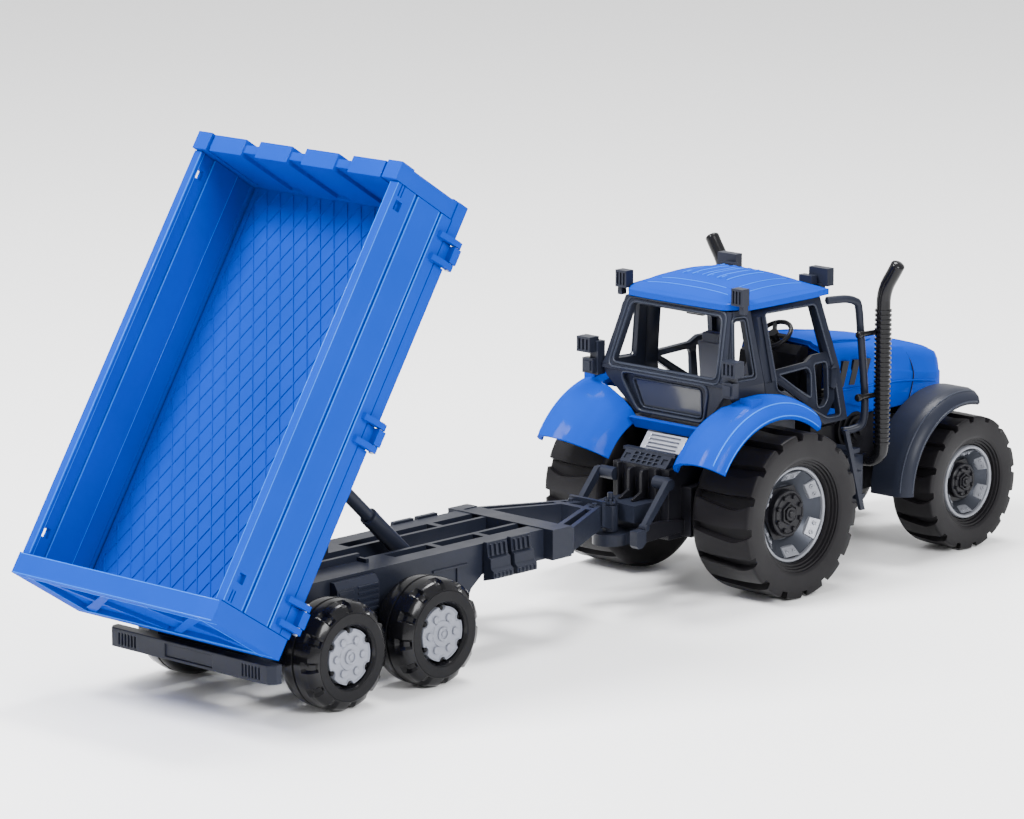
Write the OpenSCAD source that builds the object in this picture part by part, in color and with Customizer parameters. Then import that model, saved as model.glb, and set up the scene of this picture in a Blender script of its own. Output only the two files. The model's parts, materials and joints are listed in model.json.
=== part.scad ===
// Toy farm tractor with a tipping trailer.
// Frame: +X is forwards, +Y is left, +Z is up; the origin is on the ground, under the middle of the
// whole toy.
// Lengths are in millimetres. Side +1 is the left side and -1 is the right side.

/* [Tractor wheels] */
// Radius of the rear tyres
rear_wheel_r = 45; // [43:0.5:46]
// Distance from the rear axle to the front axle
wheelbase = 154; // [150:1:160]
// Radius of the front tyres
front_wheel_r = 37.5; // [35:0.5:38]

/* [Trailer] */
// Radius of the trailer tyres
trailer_wheel_r = 27.5; // [25:0.5:28]
// Tipping angle of the bed, in degrees
tip = 57.6; // [52:0.2:60]
// Length of the bed along its floor
bed_l = 241.2; // [236:0.2:246]
// Width of the bed across its skirts
bed_w = 143.6; // [143:0.2:144]

/* [Fits] */
// Radius of the wheel axles
axle_r = 2.5; // [2.2:0.1:2.8]
// Radius of the hitch pin
hitch_pin_r = 2.4; // [2.2:0.1:2.6]
// Radial running clearance of every shaft in its bore
run_gap = 0.06; // [0.04:0.01:0.08]
// Gap between pieces that move past each other
part_gap = 0.4; // [0.3:0.05:0.5]

/* [Hidden] */
$fn = 64;
round_fn = 32;

BLUE = "#0a78eb";
SLATE = "#3c404e";
BLACK = "#141416";
SILVER = "#a9acb3";
GREY = "#66666f";
STEEL = "#b8bcc2";

// Places along the tractor, measured from the rear axle.
hitch_x = -73.8;
stack_x = 81;
stack_y = 57;
// Places along the trailer, measured from the rear axle of the tractor.
trailer_axles_x = [-264.2, -328.5];
hinge_x = -364;
hinge_z = 48;
// The bed in its own frame: origin at the tipping hinge, X along the floor, Z out of the floor.
bed_back = -20;
bed_under = 11;
bed_top = 63.2;
floor_low = 16;
floor_top = 19;
side_y = bed_w / 2;
board_back = -8.6;
board_front = bed_l - 29.8;
board_low = 18.4;
knuckle_y = side_y + 1.4;
knuckle_h = 10;
knuckles_s = [2.5, 98.5, 196];
knuckle_pin_r = 1.2;
lug_t = 3;
lug_offset = 6;
gate_hinge_s = -15;
gate_hinge_h = 8;
gate_lugs_y = [-42, 42];
// The strut: its lower pivot, and its length and angle when the bed is tipped.
strut_x = -217.8;
strut_z = 42.4;
strut_len = 126.6;
strut_ang = 137.07;
strut_swing = -0.55;
rod_rate = 42;
strut_pin_r = 2;
// Chassis rails of the trailer.
rail_in = 10;
rail_out = 31;
rail_top = 58;
chassis_back = -369;
chassis_front = -143.7;
// The whole toy: rearmost point of the tipped bed and foremost point of the front tyres.
toy_back = hinge_x + bed_back * cos(tip) - bed_top * sin(tip);
toy_front = wheelbase + front_wheel_r;
origin_x = -(toy_back + toy_front) / 2;

// ---- Frames and helpers ----

// Moves a piece from the rear axle's frame to the frame of the whole toy.
module placed() {
    translate([origin_x, 0, 0]) children();
}

// The bed's own frame, tipped about its hinge.
module on_bed() {
    placed() translate([hinge_x, 0, hinge_z]) rotate([0, -tip, 0]) children();
}

// Turns a shape drawn along Z so that it runs outwards along Y on the given side.
module outwards(side) {
    rotate([side > 0 ? -90 : 90, 0, 0]) children();
}

module both_sides() {
    children();
    mirror([0, 1, 0]) children();
}

// A block from its lowest to its highest corner.
module block(low, high) {
    translate(low) cube(high - low);
}

// A plate drawn in X and Z, standing between two values of Y.
module side_plate(y_low, y_high, points) {
    translate([0, y_high, 0]) rotate([90, 0, 0]) linear_extrude(y_high - y_low) polygon(points);
}

// A beam drawn in Y and Z, running between two values of X.
module cross_plate(x_low, x_high, points) {
    translate([x_low, 0, 0]) rotate([90, 0, 90]) linear_extrude(x_high - x_low) polygon(points);
}

// A round bar along Y.
module y_bar(x, z, r, y_low, y_high) {
    translate([x, y_low, z]) rotate([-90, 0, 0]) cylinder(r = r, h = y_high - y_low);
}

// A round bar along X.
module x_bar(y, z, r, x_low, x_high) {
    translate([x_low, y, z]) rotate([0, 90, 0]) cylinder(r = r, h = x_high - x_low);
}

// Repeats a shape n times about Z.
module ring_of(n, start = 0) {
    for (i = [0 : n - 1]) rotate([0, 0, start + 360 / n * i]) children();
}

// ---- Wheels of the tractor ----

// Tyre: closed ring about Z, from its inner to its outer side, with a flat tread and round shoulders.
module tyre_ring(r, bead_r, w_in, w_out) {
    shoulder = 0.16 * (w_out - w_in);
    wall = r - 0.2 * (r - bead_r);
    rotate_extrude() polygon([
        [bead_r, w_in + 3], [bead_r + 3, w_in], [wall - 2, w_in], [wall + 2, w_in + 1.5],
        [r - 0.8, w_in + shoulder], [r, w_in + 2 * shoulder], [r, w_out - 2 * shoulder],
        [r - 0.8, w_out - shoulder], [wall + 2, w_out - 1.5], [wall - 2, w_out],
        [bead_r + 3, w_out - 1], [bead_r, w_out - 5]
    ]);
}

// Tyre with a row of tread grooves, open to its outer side.
module lugged_tyre(r, bead_r, w_in, w_out) {
    lugs = 16;
    depth = 0.085 * r;
    groove = 0.38 * 2 * PI * r / lugs;
    difference() {
        tyre_ring(r, bead_r, w_in, w_out);
        ring_of(lugs) translate([r - depth, -groove / 2, w_in + 5]) cube([depth + 2, groove, w_out - w_in]);
    }
}

// Dished rim with six bolted pads, bored for the axle.
module rim_disc(r, w_in, w_out, hub_r) {
    depth = 9;
    pad_l = 0.42 * r;
    pad_w = 0.24 * r;
    difference() {
        rotate_extrude() polygon([
            [0, w_in + 3], [r - 3, w_in + 3], [r - 0.1, w_in + 5.2], [r - 0.1, w_out - 5],
            [r + 0.6, w_out - 1.2], [r - 0.4, w_out], [r - 2.2, w_out], [r - 2.8, w_out - 1.5],
            [hub_r + 2, w_out - depth], [0, w_out - depth]
        ]);
        translate([0, 0, w_in]) cylinder(r = axle_r + run_gap, h = w_out);
        ring_of(6, 30) translate([0.72 * r, 0, w_out - 7.5]) cylinder(r = 0.12 * r, h = 8);
    }
    ring_of(6) {
        translate([0.74 * r - pad_w / 2, -pad_l / 2, w_out - 9]) cube([pad_w, pad_l, 5.6]);
        for (s = [-1, 1]) translate([0.74 * r, s * 0.26 * pad_l,
            w_out - 4]) cylinder(r = 0.045 * r, h = 1.2);
    }
}

// Black hub cap with eight bolts around a hexagonal nut; the axle ends inside it.
module hub_cap(r, w_base, w_out) {
    face = w_out - 3.2;
    difference() {
        union() {
            translate([0, 0, w_base]) cylinder(r = r, h = face - w_base);
            translate([0, 0, face - 0.01]) cylinder(r = r - 1.2, h = 0.9);
            ring_of(8, 22.5) translate([0.78 * r, 0, face]) cylinder(r = 0.085 * r, h = 1.7);
            translate([0, 0, face]) cylinder(r = 0.5 * r, h = 1.9, $fn = 6);
            translate([0, 0, face]) cylinder(r = 0.24 * r, h = 3.2);
        }
        translate([0, 0, w_base - 1]) cylinder(r = axle_r + run_gap, h = face - w_base);
    }
}

rear_bead_r = 26;
rear_w = [29.5, 70.6];
// How far the left rear wheel stands out along its axle.
left_float = 4.8;
rear_rim_w = [34, 64.6];
rear_hub_r = 12.6;
front_bead_r = 20.4;
front_w = [33, 62.5];
front_rim_w = [36, 59.6];
front_hub_r = 9.8;

module rear_wheel_at(side) {
    out = side > 0 ? left_float : 0;
    placed() translate([0, 0, rear_wheel_r]) outwards(side) translate([0, 0, out]) children();
}

module front_wheel_at(side) {
    placed() translate([wheelbase, 0, front_wheel_r]) outwards(side) children();
}

module rear_tyre(side) {
    color(BLACK) rear_wheel_at(side) lugged_tyre(rear_wheel_r, rear_bead_r, rear_w[0], rear_w[1]);
}

module rear_rim(side) {
    color(SILVER) rear_wheel_at(side) rim_disc(rear_bead_r - 0.6, rear_rim_w[0], rear_rim_w[1], rear_hub_r);
}

module rear_hub(side) {
    color(BLACK) rear_wheel_at(side) hub_cap(rear_hub_r, rear_rim_w[1] - 9, rear_rim_w[1] - 0.5);
}

module front_tyre(side) {
    color(BLACK) front_wheel_at(side) lugged_tyre(front_wheel_r, front_bead_r, front_w[0], front_w[1]);
}

module front_rim(side) {
    color(SILVER) front_wheel_at(side) rim_disc(front_bead_r - 0.6, front_rim_w[0], front_rim_w[1],
        front_hub_r);
}

module front_hub(side) {
    color(BLACK) front_wheel_at(side) hub_cap(front_hub_r, front_rim_w[1] - 9, front_rim_w[1] - 0.5);
}

module rear_axle() {
    reach = rear_rim_w[1] - 5.5;
    color(STEEL) placed() y_bar(0, rear_wheel_r, axle_r, -reach, reach + left_float);
}

module front_axle() {
    reach = front_rim_w[1] - 5.5;
    color(STEEL) placed() y_bar(wheelbase, front_wheel_r, axle_r, -reach, reach);
}

// ---- Body of the tractor ----

module tractor_chassis() {
    gear_y = 20;
    trumpet_y = rear_w[0] - 1;
    beam_y = front_w[0] - 1.5;
    color(BLACK) placed() difference() {
        union() {
            block([-50, -gear_y, 32], [34, gear_y, 70]);
            block([30, -13, 32], [172, 13, 57]);
            y_bar(0, rear_wheel_r, 9, -trumpet_y, trumpet_y);
            both_sides() block([-40, gear_y - 1, 33], [24, 27, 60]);
            both_sides() for (x = [-36, -24, 14]) block([x, 26, 34], [x + 3, 28.6, 58]);
            cross_plate(wheelbase - 9, wheelbase + 9, [
                [-beam_y, 31], [beam_y, 31], [beam_y, 43], [20, 47], [-20, 47], [-beam_y, 43]
            ]);
            block([170, -15, 36], [180, 15, 64]);
            block([178, -9, 40], [186, 9, 56]);
            // Upright plates and fins between the cover and the hitch.
            both_sides() side_plate(13, 14.2, [[-49, 34], [-49, 70], [-53.6, 70], [-53.6, 34]]);
            both_sides() side_plate(3.6, 5.4, [
                [-49, 52.8], [-49, 68.6], [-54, 68.6], [-55, 67.6], [-55, 57], [-62, 53.8], [-62, 52.8]
            ]);
            // Lower links.
            both_sides() side_plate(19.6, 22.4, [
                [-79, 42], [-70, 44], [-58, 44], [-40, 42], [-40, 36], [-72, 34.6], [-79, 36]
            ]);
            // Wedge under the slotted panel.
            side_plate(-12, 12, [[-33.2, 69.9], [-33.2, 73.6], [-27, 81.4], [-24.2, 81.4], [-24.2, 69.9]]);
        }
        y_bar(0, rear_wheel_r, axle_r + 0.02, -60, 60);
        y_bar(wheelbase, front_wheel_r, axle_r + 0.02, -60, 60);
    }
}

module engine_block() {
    filter_x = 90;
    filter_z = 73;
    color(BLACK) placed() {
        block([58, -26, 57.2], [118, 26, 79]);
        block([118, -22, 57.2], [150, 22, 74]);
        both_sides() {
            for (i = [0 : 3]) y_bar(filter_x, filter_z, 12 - 2.2 * i, 25, 29 + 1.6 * i);
            y_bar(filter_x, filter_z, 3, 25, 36.4);
            for (i = [0 : 5]) block([60 + 4 * i, 25, 60], [62 + 4 * i, 28, 66]);
            x_bar(27, 80, 3, 60, 76);
        }
    }
}

// Sloping dark cover with a grid of small slots, behind the cab.
module rear_cover() {
    tilt = -47;
    face_l = 8.2;
    color(SLATE) placed() {
        difference() {
            translate([-49, 0, 69.9]) rotate([0, tilt, 0]) difference() {
                block([0, -16.5, -3.6], [face_l, 16.5, 0]);
                for (i = [0 : 2], j = [-2 : 2]) block([1 + 2.4 * i, 4 * j - 1.3, -1.2],
                    [2.6 + 2.4 * i, 4 * j + 1.3, 1]);
                both_sides() block([2.4, 11.6, -0.9], [5.8, 15, 1]);
            }
            block([-60, -30, 60], [40, 30, 70]);
        }
        block([-43.6, -18.6, 75.2], [-39.8, 18.6, 77]);
    }
}

// Light slotted panel above the cover.
module rear_grille() {
    color(SILVER) placed() translate([-36, 0, 74.6]) rotate([0, -52, 0]) difference() {
        block([0, -14.3, -2.6], [11.5, 14.3, 0]);
        for (i = [0 : 3]) block([1.7 + 2.4 * i, -10.6, -1.6], [2.9 + 2.4 * i, 10.6, 1]);
    }
}

// Lift arms, lift rods and lower links, all of one fixed moulding.
module three_point_linkage() {
    color(SLATE) placed() both_sides() {
        y_bar(-54, 63.8, 3.5, 14.3, 24.7);
        side_plate(23.6, 26.8, [[-54.8, 67], [-57.6, 66.6], [-76, 45.4], [-73.2, 43.6], [-54.8, 63]]);
        side_plate(22.5, 27.5, [
            [-83, 43.2], [-75.6, 43.2], [-75.6, 36.4], [-78.6, 33.8], [-81.4, 33.8], [-83, 35.4]
        ]);
        y_bar(-74.6, 44, 1.8, 22.6, 27.4);
    }
}

// Rounded hitch plate with the upright pin that the drawbar turns on.
module hitch_coupler() {
    tongue = [31.6, 37.8];
    nut_z = 53;
    color(SLATE) placed() {
        translate([hitch_x, 0, tongue[0]]) cylinder(r = 9.6, h = tongue[1] - tongue[0]);
        block([hitch_x, -9.2, tongue[0]], [-50.1, 9.2, tongue[1]]);
        block([-60, -9.2, tongue[1] - 1], [-50.1, 9.2, 44]);
        block([-69, -12.9, 43.4], [-50.1, 12.9, 52.6]);
        translate([hitch_x, 0, tongue[1] - 1]) cylinder(r = hitch_pin_r, h = nut_z - tongue[1] + 2);
        translate([hitch_x, 0, nut_z]) cylinder(r = 3.6, h = 1.6);
        translate([hitch_x, 0, nut_z]) ring_of(8) translate([3, 0, 0]) cylinder(r = 0.8, h = 3);
        translate([hitch_x, 0, nut_z]) cylinder(r = 1.6, h = 6);
    }
}

// Cross-section of the hood at one place along it, for the outer skin or, inset, for the hollow.
module hood_section(x, half_w, low, shoulder, top, inset, nose_r) {
    w = half_w - inset;
    for (s = [-1, 1]) {
        translate([x, s * (w - nose_r), low]) cylinder(r = nose_r, h = shoulder - low - inset);
        translate([x, s * (w - nose_r) * 0.62, low]) cylinder(r = nose_r, h = top - low - inset);
    }
}

// Hood: a shell, open below and behind.
module hood() {
    skin = 2;
    color(BLUE) placed() difference() {
        hull() {
            hood_section(70, 33, 92, 119.4, 124, 0, 4);
            hood_section(117, 32.6, 80.5, 114.3, 118.4, 0, 5);
            hood_section(144, 31, 80.5, 110.2, 113.6, 0, 6);
            hood_section(166.6, 26, 80.5, 100.6, 105.6, 0, 14);
        }
        hull() {
            hood_section(68, 33, 79, 119.4, 124, skin, 4);
            hood_section(117, 32.6, 79, 114.3, 118.4, skin, 5);
            hood_section(144, 31, 79, 110.2, 113.6, skin, 6);
            hood_section(166.6, 26, 79, 100.6, 105.6, skin, 12);
            block([62, -20, 60], [63, 20, 61]);
        }
    }
}

// Upright grille panel with slots and two lamps, closing the nose under the hood's front edge.
module front_grille() {
    color(BLACK) placed() difference() {
        union() {
            block([150, -24, 64.4], [178, 24, 80]);
            both_sides() x_bar(17, 73, 4.4, 176, 180.5);
        }
        for (i = [0 : 3]) block([176.5, -11, 66.2 + 3.2 * i], [179, 11, 67.8 + 3.2 * i]);
    }
}

// ---- Cab ----
cab_y = 44.5;
cab_skin = 3.4;
cab_top = 154;
waist_x = -33;
waist_z = 116;
rear_top_x = -21;
seam_top_x = -6.5;
seam_low_x = -0.4;

module cab_rear_frame() {
    lean = atan2(rear_top_x - waist_x, cab_top - waist_z);
    up = (cab_top - waist_z) / cos(lean);
    // Upper frame around the rear window.
    translate([waist_x, 0, waist_z]) rotate([0, lean, 0]) difference() {
        cross_plate(0, cab_skin, [[-44.2, -1], [44.2, -1], [37.8, up - 0.6], [-37.8, up - 0.6]]);
        cross_plate(-1, cab_skin + 1, [[-36.6, 3.6], [36.6, 3.6], [31.6, up - 4], [-31.6, up - 4]]);
    }
    // Lower panel, tucked in below the waist, with a recessed bay.
    tuck = -15;
    drop = 25;
    translate([waist_x + 0.3, 0, waist_z]) rotate([0, 180 + tuck, 0]) mirror([1, 0, 0]) difference() {
        cross_plate(0, cab_skin, [[-44.4, -1.4], [44.4, -1.4], [42, 6], [25, drop], [-25, drop], [-42, 6]]);
        cross_plate(-1, 1.8, [[-28.5, 1.6], [28.5, 1.6], [29.5, 6], [22.6, 23], [-22.6, 23], [-29.5, 6]]);
        cross_plate(1, 2.9, [[-23.6, 6], [23.6, 6], [20.6, 21.6], [-20.6, 21.6]]);
    }
}

// Leans the part of a left-hand side piece above the waist inwards towards the roof.
module leaning() {
    bend_z = 114;
    bend_y = cab_y - 0.2;
    intersection() {
        children();
        block([-60, 0, 60], [90, 80, bend_z]);
    }
    translate([0, bend_y, bend_z]) rotate([9, 0, 0]) translate([0, -bend_y, -bend_z]) intersection() {
        children();
        block([-60, 0, bend_z - 0.3], [90, 80, 180]);
    }
}

// Rear quarter of the cab's side, with its window, and the narrow pillar behind the door.
module cab_quarter() {
    difference() {
        side_plate(cab_y - cab_skin, cab_y, [
            [waist_x + 1, waist_z], [rear_top_x + 1, cab_top], [seam_top_x - part_gap, cab_top],
            [seam_low_x - part_gap, 104], [-22, 104], [-28, 110]
        ]);
        side_plate(cab_y - cab_skin - 1, cab_y + 1, [
            [-24.8, 119.5], [-20.5, 149], [-12.2, 148.6], [-9.8, 119]
        ]);
        side_plate(cab_y - 0.8, cab_y + 1, [[-27, 117.4], [-21.6, 151], [-10.4, 150.6], [-7.6, 117]]);
    }
}

module cab_frame() {
    color(SLATE) placed() {
        cab_rear_frame();
        both_sides() leaning() cab_quarter();
        // Header rails, front pillars and the sill behind the hood.
        both_sides() block([rear_top_x + 1, 29.6, cab_top - 4.4], [49, 34.2, cab_top - 0.2]);
        both_sides() leaning() side_plate(36.6, 41, [
            [47, cab_top - 0.6], [50.4, cab_top - 0.6], [66, 91], [61, 91]
        ]);
        block([46.6, -34, cab_top - 4], [50, 34, cab_top - 0.6]);
        block([rear_top_x + 0.6, -33, cab_top - 3.4], [rear_top_x + 6, 33, cab_top - 0.5]);
        block([60.4, -41, 90], [65, 41, 94]);
    }
}

door_low = 84;

// Door: frame, waist rail, loop around the handle and the slanting brace.
module cab_door() {
    y_in = cab_y - cab_skin;
    frame = [
        [seam_top_x, cab_top - 0.6], [50, cab_top - 0.6], [67, door_low], [48, door_low], [9, 104.6],
        [seam_low_x, 104.6]
    ];
    window = [[5, 149.6], [44.6, 149], [60.6, 87.6], [51, 87.6], [9, 108.8]];
    difference() {
        side_plate(y_in, cab_y, frame);
        side_plate(y_in - 1, cab_y + 1, window);
        side_plate(cab_y - 0.9, cab_y + 1, [[-2, 149], [1.6, 149], [4.4, 113], [1, 113]]);
    }
    difference() {
        side_plate(y_in + 0.4, cab_y - 0.6, [
            [7, 119], [34, 120], [40, 123], [52, 123], [55.6, 118], [56.6, 96], [50, 88], [44, 90],
                [7.8, 113]
        ]);
        side_plate(y_in, cab_y, [[40, 117.5], [49.4, 117.5], [50.4, 98], [47.6, 94.4], [42.6, 94.4]]);
        side_plate(y_in, cab_y, [[11, 115.6], [34, 116.4], [36, 113], [36.6, 101], [31, 104]]);
    }
    side_plate(cab_y - 0.8, cab_y + 1.2, [[51.4, 104], [54, 102.6], [56.2, 104], [56.2, 114], [54,
        115.8], [51.8, 114]]);
}

module cab_doors() {
    color(SLATE) placed() both_sides() leaning() cab_door();
}

// Domed roof with a raised, slotted panel in its middle.
module roof() {
    eave = cab_top + 0.2;
    color(BLUE) placed() {
        difference() {
            hull() {
                block([-24, -38, eave], [54, 38, eave + 2]);
                block([-20, -44, eave], [50, 44, eave + 3]);
                block([-12, -41, eave], [42, 41, eave + 7]);
                block([0, -30, eave], [32, 30, eave + 10.6]);
                block([6, -16, eave], [28, 16, eave + 11.6]);
            }
            both_sides() block([-26, 36.8, eave - 1], [-14.8, 46, eave + 20]);
        }
        difference() {
            block([3, -17, eave + 9], [31, 17, eave + 12.9]);
            for (i = [0 : 8]) block([4.2, -15.2 + 3.4 * i, eave + 12.1], [29.8, -13.4 + 3.4 * i,
                eave + 14]);
        }
    }
}

// Ribbed work lamp: a box with upright ribs on its face, facing backwards.
module work_lamp(width, height, depth) {
    rib = width / 7;
    block([0, -width / 2, 0], [depth, width / 2, height]);
    for (i = [-3 : 2 : 3]) block([-0.9, (i - 0.5) * rib, 1.2], [0.1, (i + 0.5) * rib, height - 1.2]);
    for (z = [0, height - 1.2]) block([-1, -width / 2, z], [0.1, width / 2, z + 1.2]);
}

module roof_lamps() {
    rear = [-20.4, 41.4, 157.2];
    front = [54.8, 32.6, 157.6];
    color(SLATE) placed() both_sides() {
        translate(rear) work_lamp(7.8, 9.2, 5);
        translate(rear) block([0.6, 0.6, -4.4], [4.4, 3.6, 0.1]);
        translate(front) block([-0.7, -3, -3.2], [3, 3, 1]);
        translate(front) block([-5.2, -9, 0.9], [-0.7, 0, 5.6]);
        translate(front) block([-0.8, -5, 1], [0.1, -1, 4.6]);
        translate(front) block([0, -6.4, 0], [5.4, 6.8, 9.6]);
        translate(front) block([5, -5.2, 1.2], [6.4, 5.6, 8.4]);
    }
}

module side_lamps() {
    lamp = [-38.6, 51.9, 122.8];
    color(SLATE) placed() both_sides() {
        translate(lamp) work_lamp(9.6, 8.4, 6.5);
        block([-35.6, 44.6, 110.6], [-30, 50.6, 129]);
        block([-38, 46.4, 111.4], [-33.4, 54, 119.6]);
        block([-38.8, 47.8, 112.8], [-37.9, 52.6, 118.2]);
    }
}

// Seat of one moulding: base, cushion, back and head rest.
module seat() {
    color(GREY) placed() translate([8, 0, 0]) {
        block([-2, -6, 90.2], [16, 6, 99.8]);
        block([-4, -8.6, 99.6], [22, 8.6, 105.4]);
        translate([1, 0, 105]) rotate([0, -6, 0]) {
            block([-3, -8, -0.6], [4, 8, 24.4]);
            block([-2, -5.4, 24], [3, 5.4, 29.4]);
        }
    }
}

module cab_floor() {
    color(GREY) placed() {
        block([-24, -29, 87], [58, 29, 90]);
        both_sides() block([24, 24, 90], [46, 29, 101]);
        block([-24, -19, 70.2], [54, 19, 87.2]);
        // Console between the driver's knees.
        side_plate(-5.6, 5.6, [[36, 89.9], [48, 89.9], [48, 117.6], [44.6, 119], [36, 106]]);
    }
}

column_base = [62.7, 0, 117.8];
column_lean = -35;

module dashboard() {
    color(BLACK) placed() {
        side_plate(-17, 17, [[57, 94.3], [65.8, 94.3], [65.8, 120], [61, 121.4], [56, 117]]);
        both_sides() side_plate(18, 27, [[57, 94.3], [65.8, 94.3], [65.8, 116], [60, 114]]);
        both_sides() block([60, 16.8, 96], [65.8, 18.2, 110]);
        translate(column_base) rotate([0, column_lean, 0]) cylinder(r = 2, h = 9);
    }
}

module steering_wheel() {
    rim_r = 10;
    wire_r = 1.3;
    color(BLACK) placed() translate(column_base) rotate([0, column_lean, 0]) translate([0, 0,
        10]) difference() {
        union() {
            rotate_extrude() translate([rim_r, 0]) circle(r = wire_r, $fn = round_fn);
            ring_of(3, 30) block([1, -1, -0.9], [rim_r - 0.4, 1, 0.9]);
            translate([0, 0, -2]) cylinder(r = 3, h = 3.6);
        }
        translate([0, 0, -5]) cylinder(r = 2 + run_gap, h = 4.2);
    }
}

module ceiling_mirror() {
    color(BLACK) placed() {
        block([1, 2, 143.4], [3.2, 14, 149.4]);
        block([2.4, 7, 147], [4.4, 9.4, cab_top]);
    }
}

// ---- Fenders ----

rear_arc = [-14, 48];

// Rear fenders: two arched shells joined by a strip under the cab's rear panel.
module rear_fenders() {
    turn_from = 52;
    turn_to = 148;
    outer = [
        [42, 23.6], [48, 27], [54, 33], [58.6, 40], [61.4, 48], [62, 54], [61, 58.6], [58.6, 62.6],
        [55.6, 65.6], [52, 67]
    ];
    inner = [
        [50.4, 65.6], [53.4, 64], [56.8, 61], [59, 57.4], [59.8, 53.6], [59.2, 48.4], [56.6, 41.2],
        [52.4, 34.6], [46.6, 28.8], [40.4, 25.2]
    ];
    color(BLUE) placed() {
        difference() {
            for (side = [-1, 1]) translate([rear_arc[0], 0, rear_arc[1]]) outwards(side)
                rotate([0, 0, side > 0 ? -turn_to : turn_from])
                rotate_extrude(angle = turn_to - turn_from) polygon(concat(outer, inner));
            // Room for the cab and for its tucked-in rear panel.
            side_plate(-45.6, 45.6, [
                [-34, 116.6], [-34, 140], [60, 140], [60, 60], [-24, 60], [-24, 84], [-27.4, 91]
            ]);
        }
        both_sides() block([-30, 52, 106], [-21, 60, 110.4]);
        // Strip under the cab's rear panel.
        side_plate(-24, 24, [[-33.6, 90.4], [-31, 91], [-25.2, 84.8], [-28.2, 84.2]]);
    }
}

// Front fenders: arched shells with a bracket down to the axle beam.
module front_fenders() {
    centre = [150, 37];
    outer = [[53, 36.4], [53, 51], [51.6, 56], [49, 59.4], [45.6, 61]];
    inner = [[44.2, 59.8], [47.6, 57.6], [50, 54.8], [51, 50.6], [51, 36.4]];
    color(SLATE) placed() {
        for (side = [-1, 1]) translate([centre[0], 0, centre[1]]) outwards(side)
            rotate([0, 0, side > 0 ? -180 : 76]) rotate_extrude(angle = 104) polygon(concat(outer, inner));
        both_sides() block([112, 26, 63], [118, 37.6, 67]);
    }
}

// ---- Pipes, rails and steps ----

// Exhaust stack: foot elbow, ribbed guard and a top that bends outwards.
module exhaust_stack() {
    r = 3.9;
    base = 60;
    straight = 147;
    bend_r = 24;
    bend = 32;
    rings = 29;
    translate([stack_x, stack_y, base - 4.6]) cylinder(r = r, h = straight - base + 4.6);
    y_bar(stack_x, base, r - 0.3, 28, stack_y);
    translate([stack_x, stack_y + bend_r, straight]) rotate([0, -90, 0]) rotate([0, 0, -90])
        rotate_extrude(angle = bend) translate([bend_r, 0]) circle(r = r + 0.15, $fn = round_fn);
    translate([stack_x, stack_y + bend_r - bend_r * cos(bend), straight + bend_r * sin(bend)])
        rotate([-bend, 0, 0]) translate([0, 0, -0.6]) cylinder(r = r, h = 13.6);
    for (i = [0 : rings - 1]) translate([stack_x, stack_y,
        base + 10 + 2.6 * i]) cylinder(r = r + 0.8, h = 1.3);
    translate([stack_x, stack_y, base + 8]) cylinder(r = r + 0.4, h = 68);
    // Clips that reach past the grab rail.
    for (z = [97, 131.5]) {
        x_bar(53.2, z, 1.5, 66, stack_x);
        x_bar(53.2, z, 2.2, 64.6, 67);
    }
}

module exhaust_stacks() {
    color(BLACK) placed() both_sides() exhaust_stack();
}

// Bent grab rails in front of the doors.
module grab_rails() {
    y_in = 46.6;
    y_out = 50.8;
    color(SLATE) placed() both_sides() {
        side_plate(y_in, y_out, [
            [51, 153.4], [64, 152.2], [68.4, 150.4], [71.4, 146.6], [74.6, 130.2], [79.2, 96], [79.2, 76],
            [64, 74.6], [64, 78.8], [75, 80], [75, 95.8], [70.4, 130], [67.4, 144.6], [64, 148], [51, 149.2]
        ]);
        block([51, 39.4, 149.2], [55, y_in + 0.1, 153.2]);
        block([64, 41, 74.8], [68, y_in + 0.1, 78.8]);
    }
}

// Steps up to the doors, with the battery box beside them.
module access_steps() {
    color(SLATE) placed() both_sides() {
        side_plate(50.4, 52.4, [[56, 80], [59, 80], [73.4, 34], [70, 34]]);
        for (i = [0 : 2]) block([60 + 4.2 * i, 27.6, 66 - 13 * i], [70 + 2.4 * i, 51, 68.4 - 13 * i]);
        block([62, 27.6, 38], [77, 47.4, 63]);
        block([54, 13, 40], [63, 30, 56]);
    }
}

// ---- Trailer ----

module rail() {
    arch = [
        [chassis_front, 42], [-203, 42], [-211, 36], [-220, 20], [chassis_back, 20], [chassis_back, 54],
        [chassis_back + 3, rail_top], [chassis_front, rail_top]
    ];
    pocket_l = 30;
    pitch = 34;
    difference() {
        side_plate(rail_in, rail_out, arch);
        for (i = [0 : 2]) {
            x = -157 - pocket_l - pitch * i;
            block([x, 12.6, rail_top - 9], [x + pocket_l, 20.4, rail_top + 1]);
        }
        block([-352, 12.6, rail_top - 9], [-312, 20.4, rail_top + 1]);
        // Hollow underside.
        block([-200, 12.6, 10], [-150, 28.4, 48]);
        side_plate(12.6, 28.4, [[-354, 0], [-354, 44], [-232, 44], [-224, 0]]);
    }
    for (x = [trailer_axles_x[0], trailer_axles_x[1]]) side_plate(rail_in, rail_out, [
        [x - 7, 18], [x + 7, 18], [x + 9, 45], [x - 9, 45]
    ]);
    // Raised outline and ribs on the outer face.
    block([-239, rail_out - 0.1, 48.6], [-214, rail_out + 0.8, 49.8]);
    block([-222, rail_out - 0.1, 41], [-220.6, rail_out + 0.8, 49.8]);
    for (x = [-146, -150]) block([x, rail_out - 0.1, 42], [x + 1.4, rail_out + 0.8, rail_top]);
    // Walls beside the strut.
    block([-312, rail_in, rail_top - 1], [-272, rail_in + 2.4, rail_top + 3.6]);
    block([-274, rail_in, rail_top - 1], [-272, rail_in + 9, rail_top + 2]);
}

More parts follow.
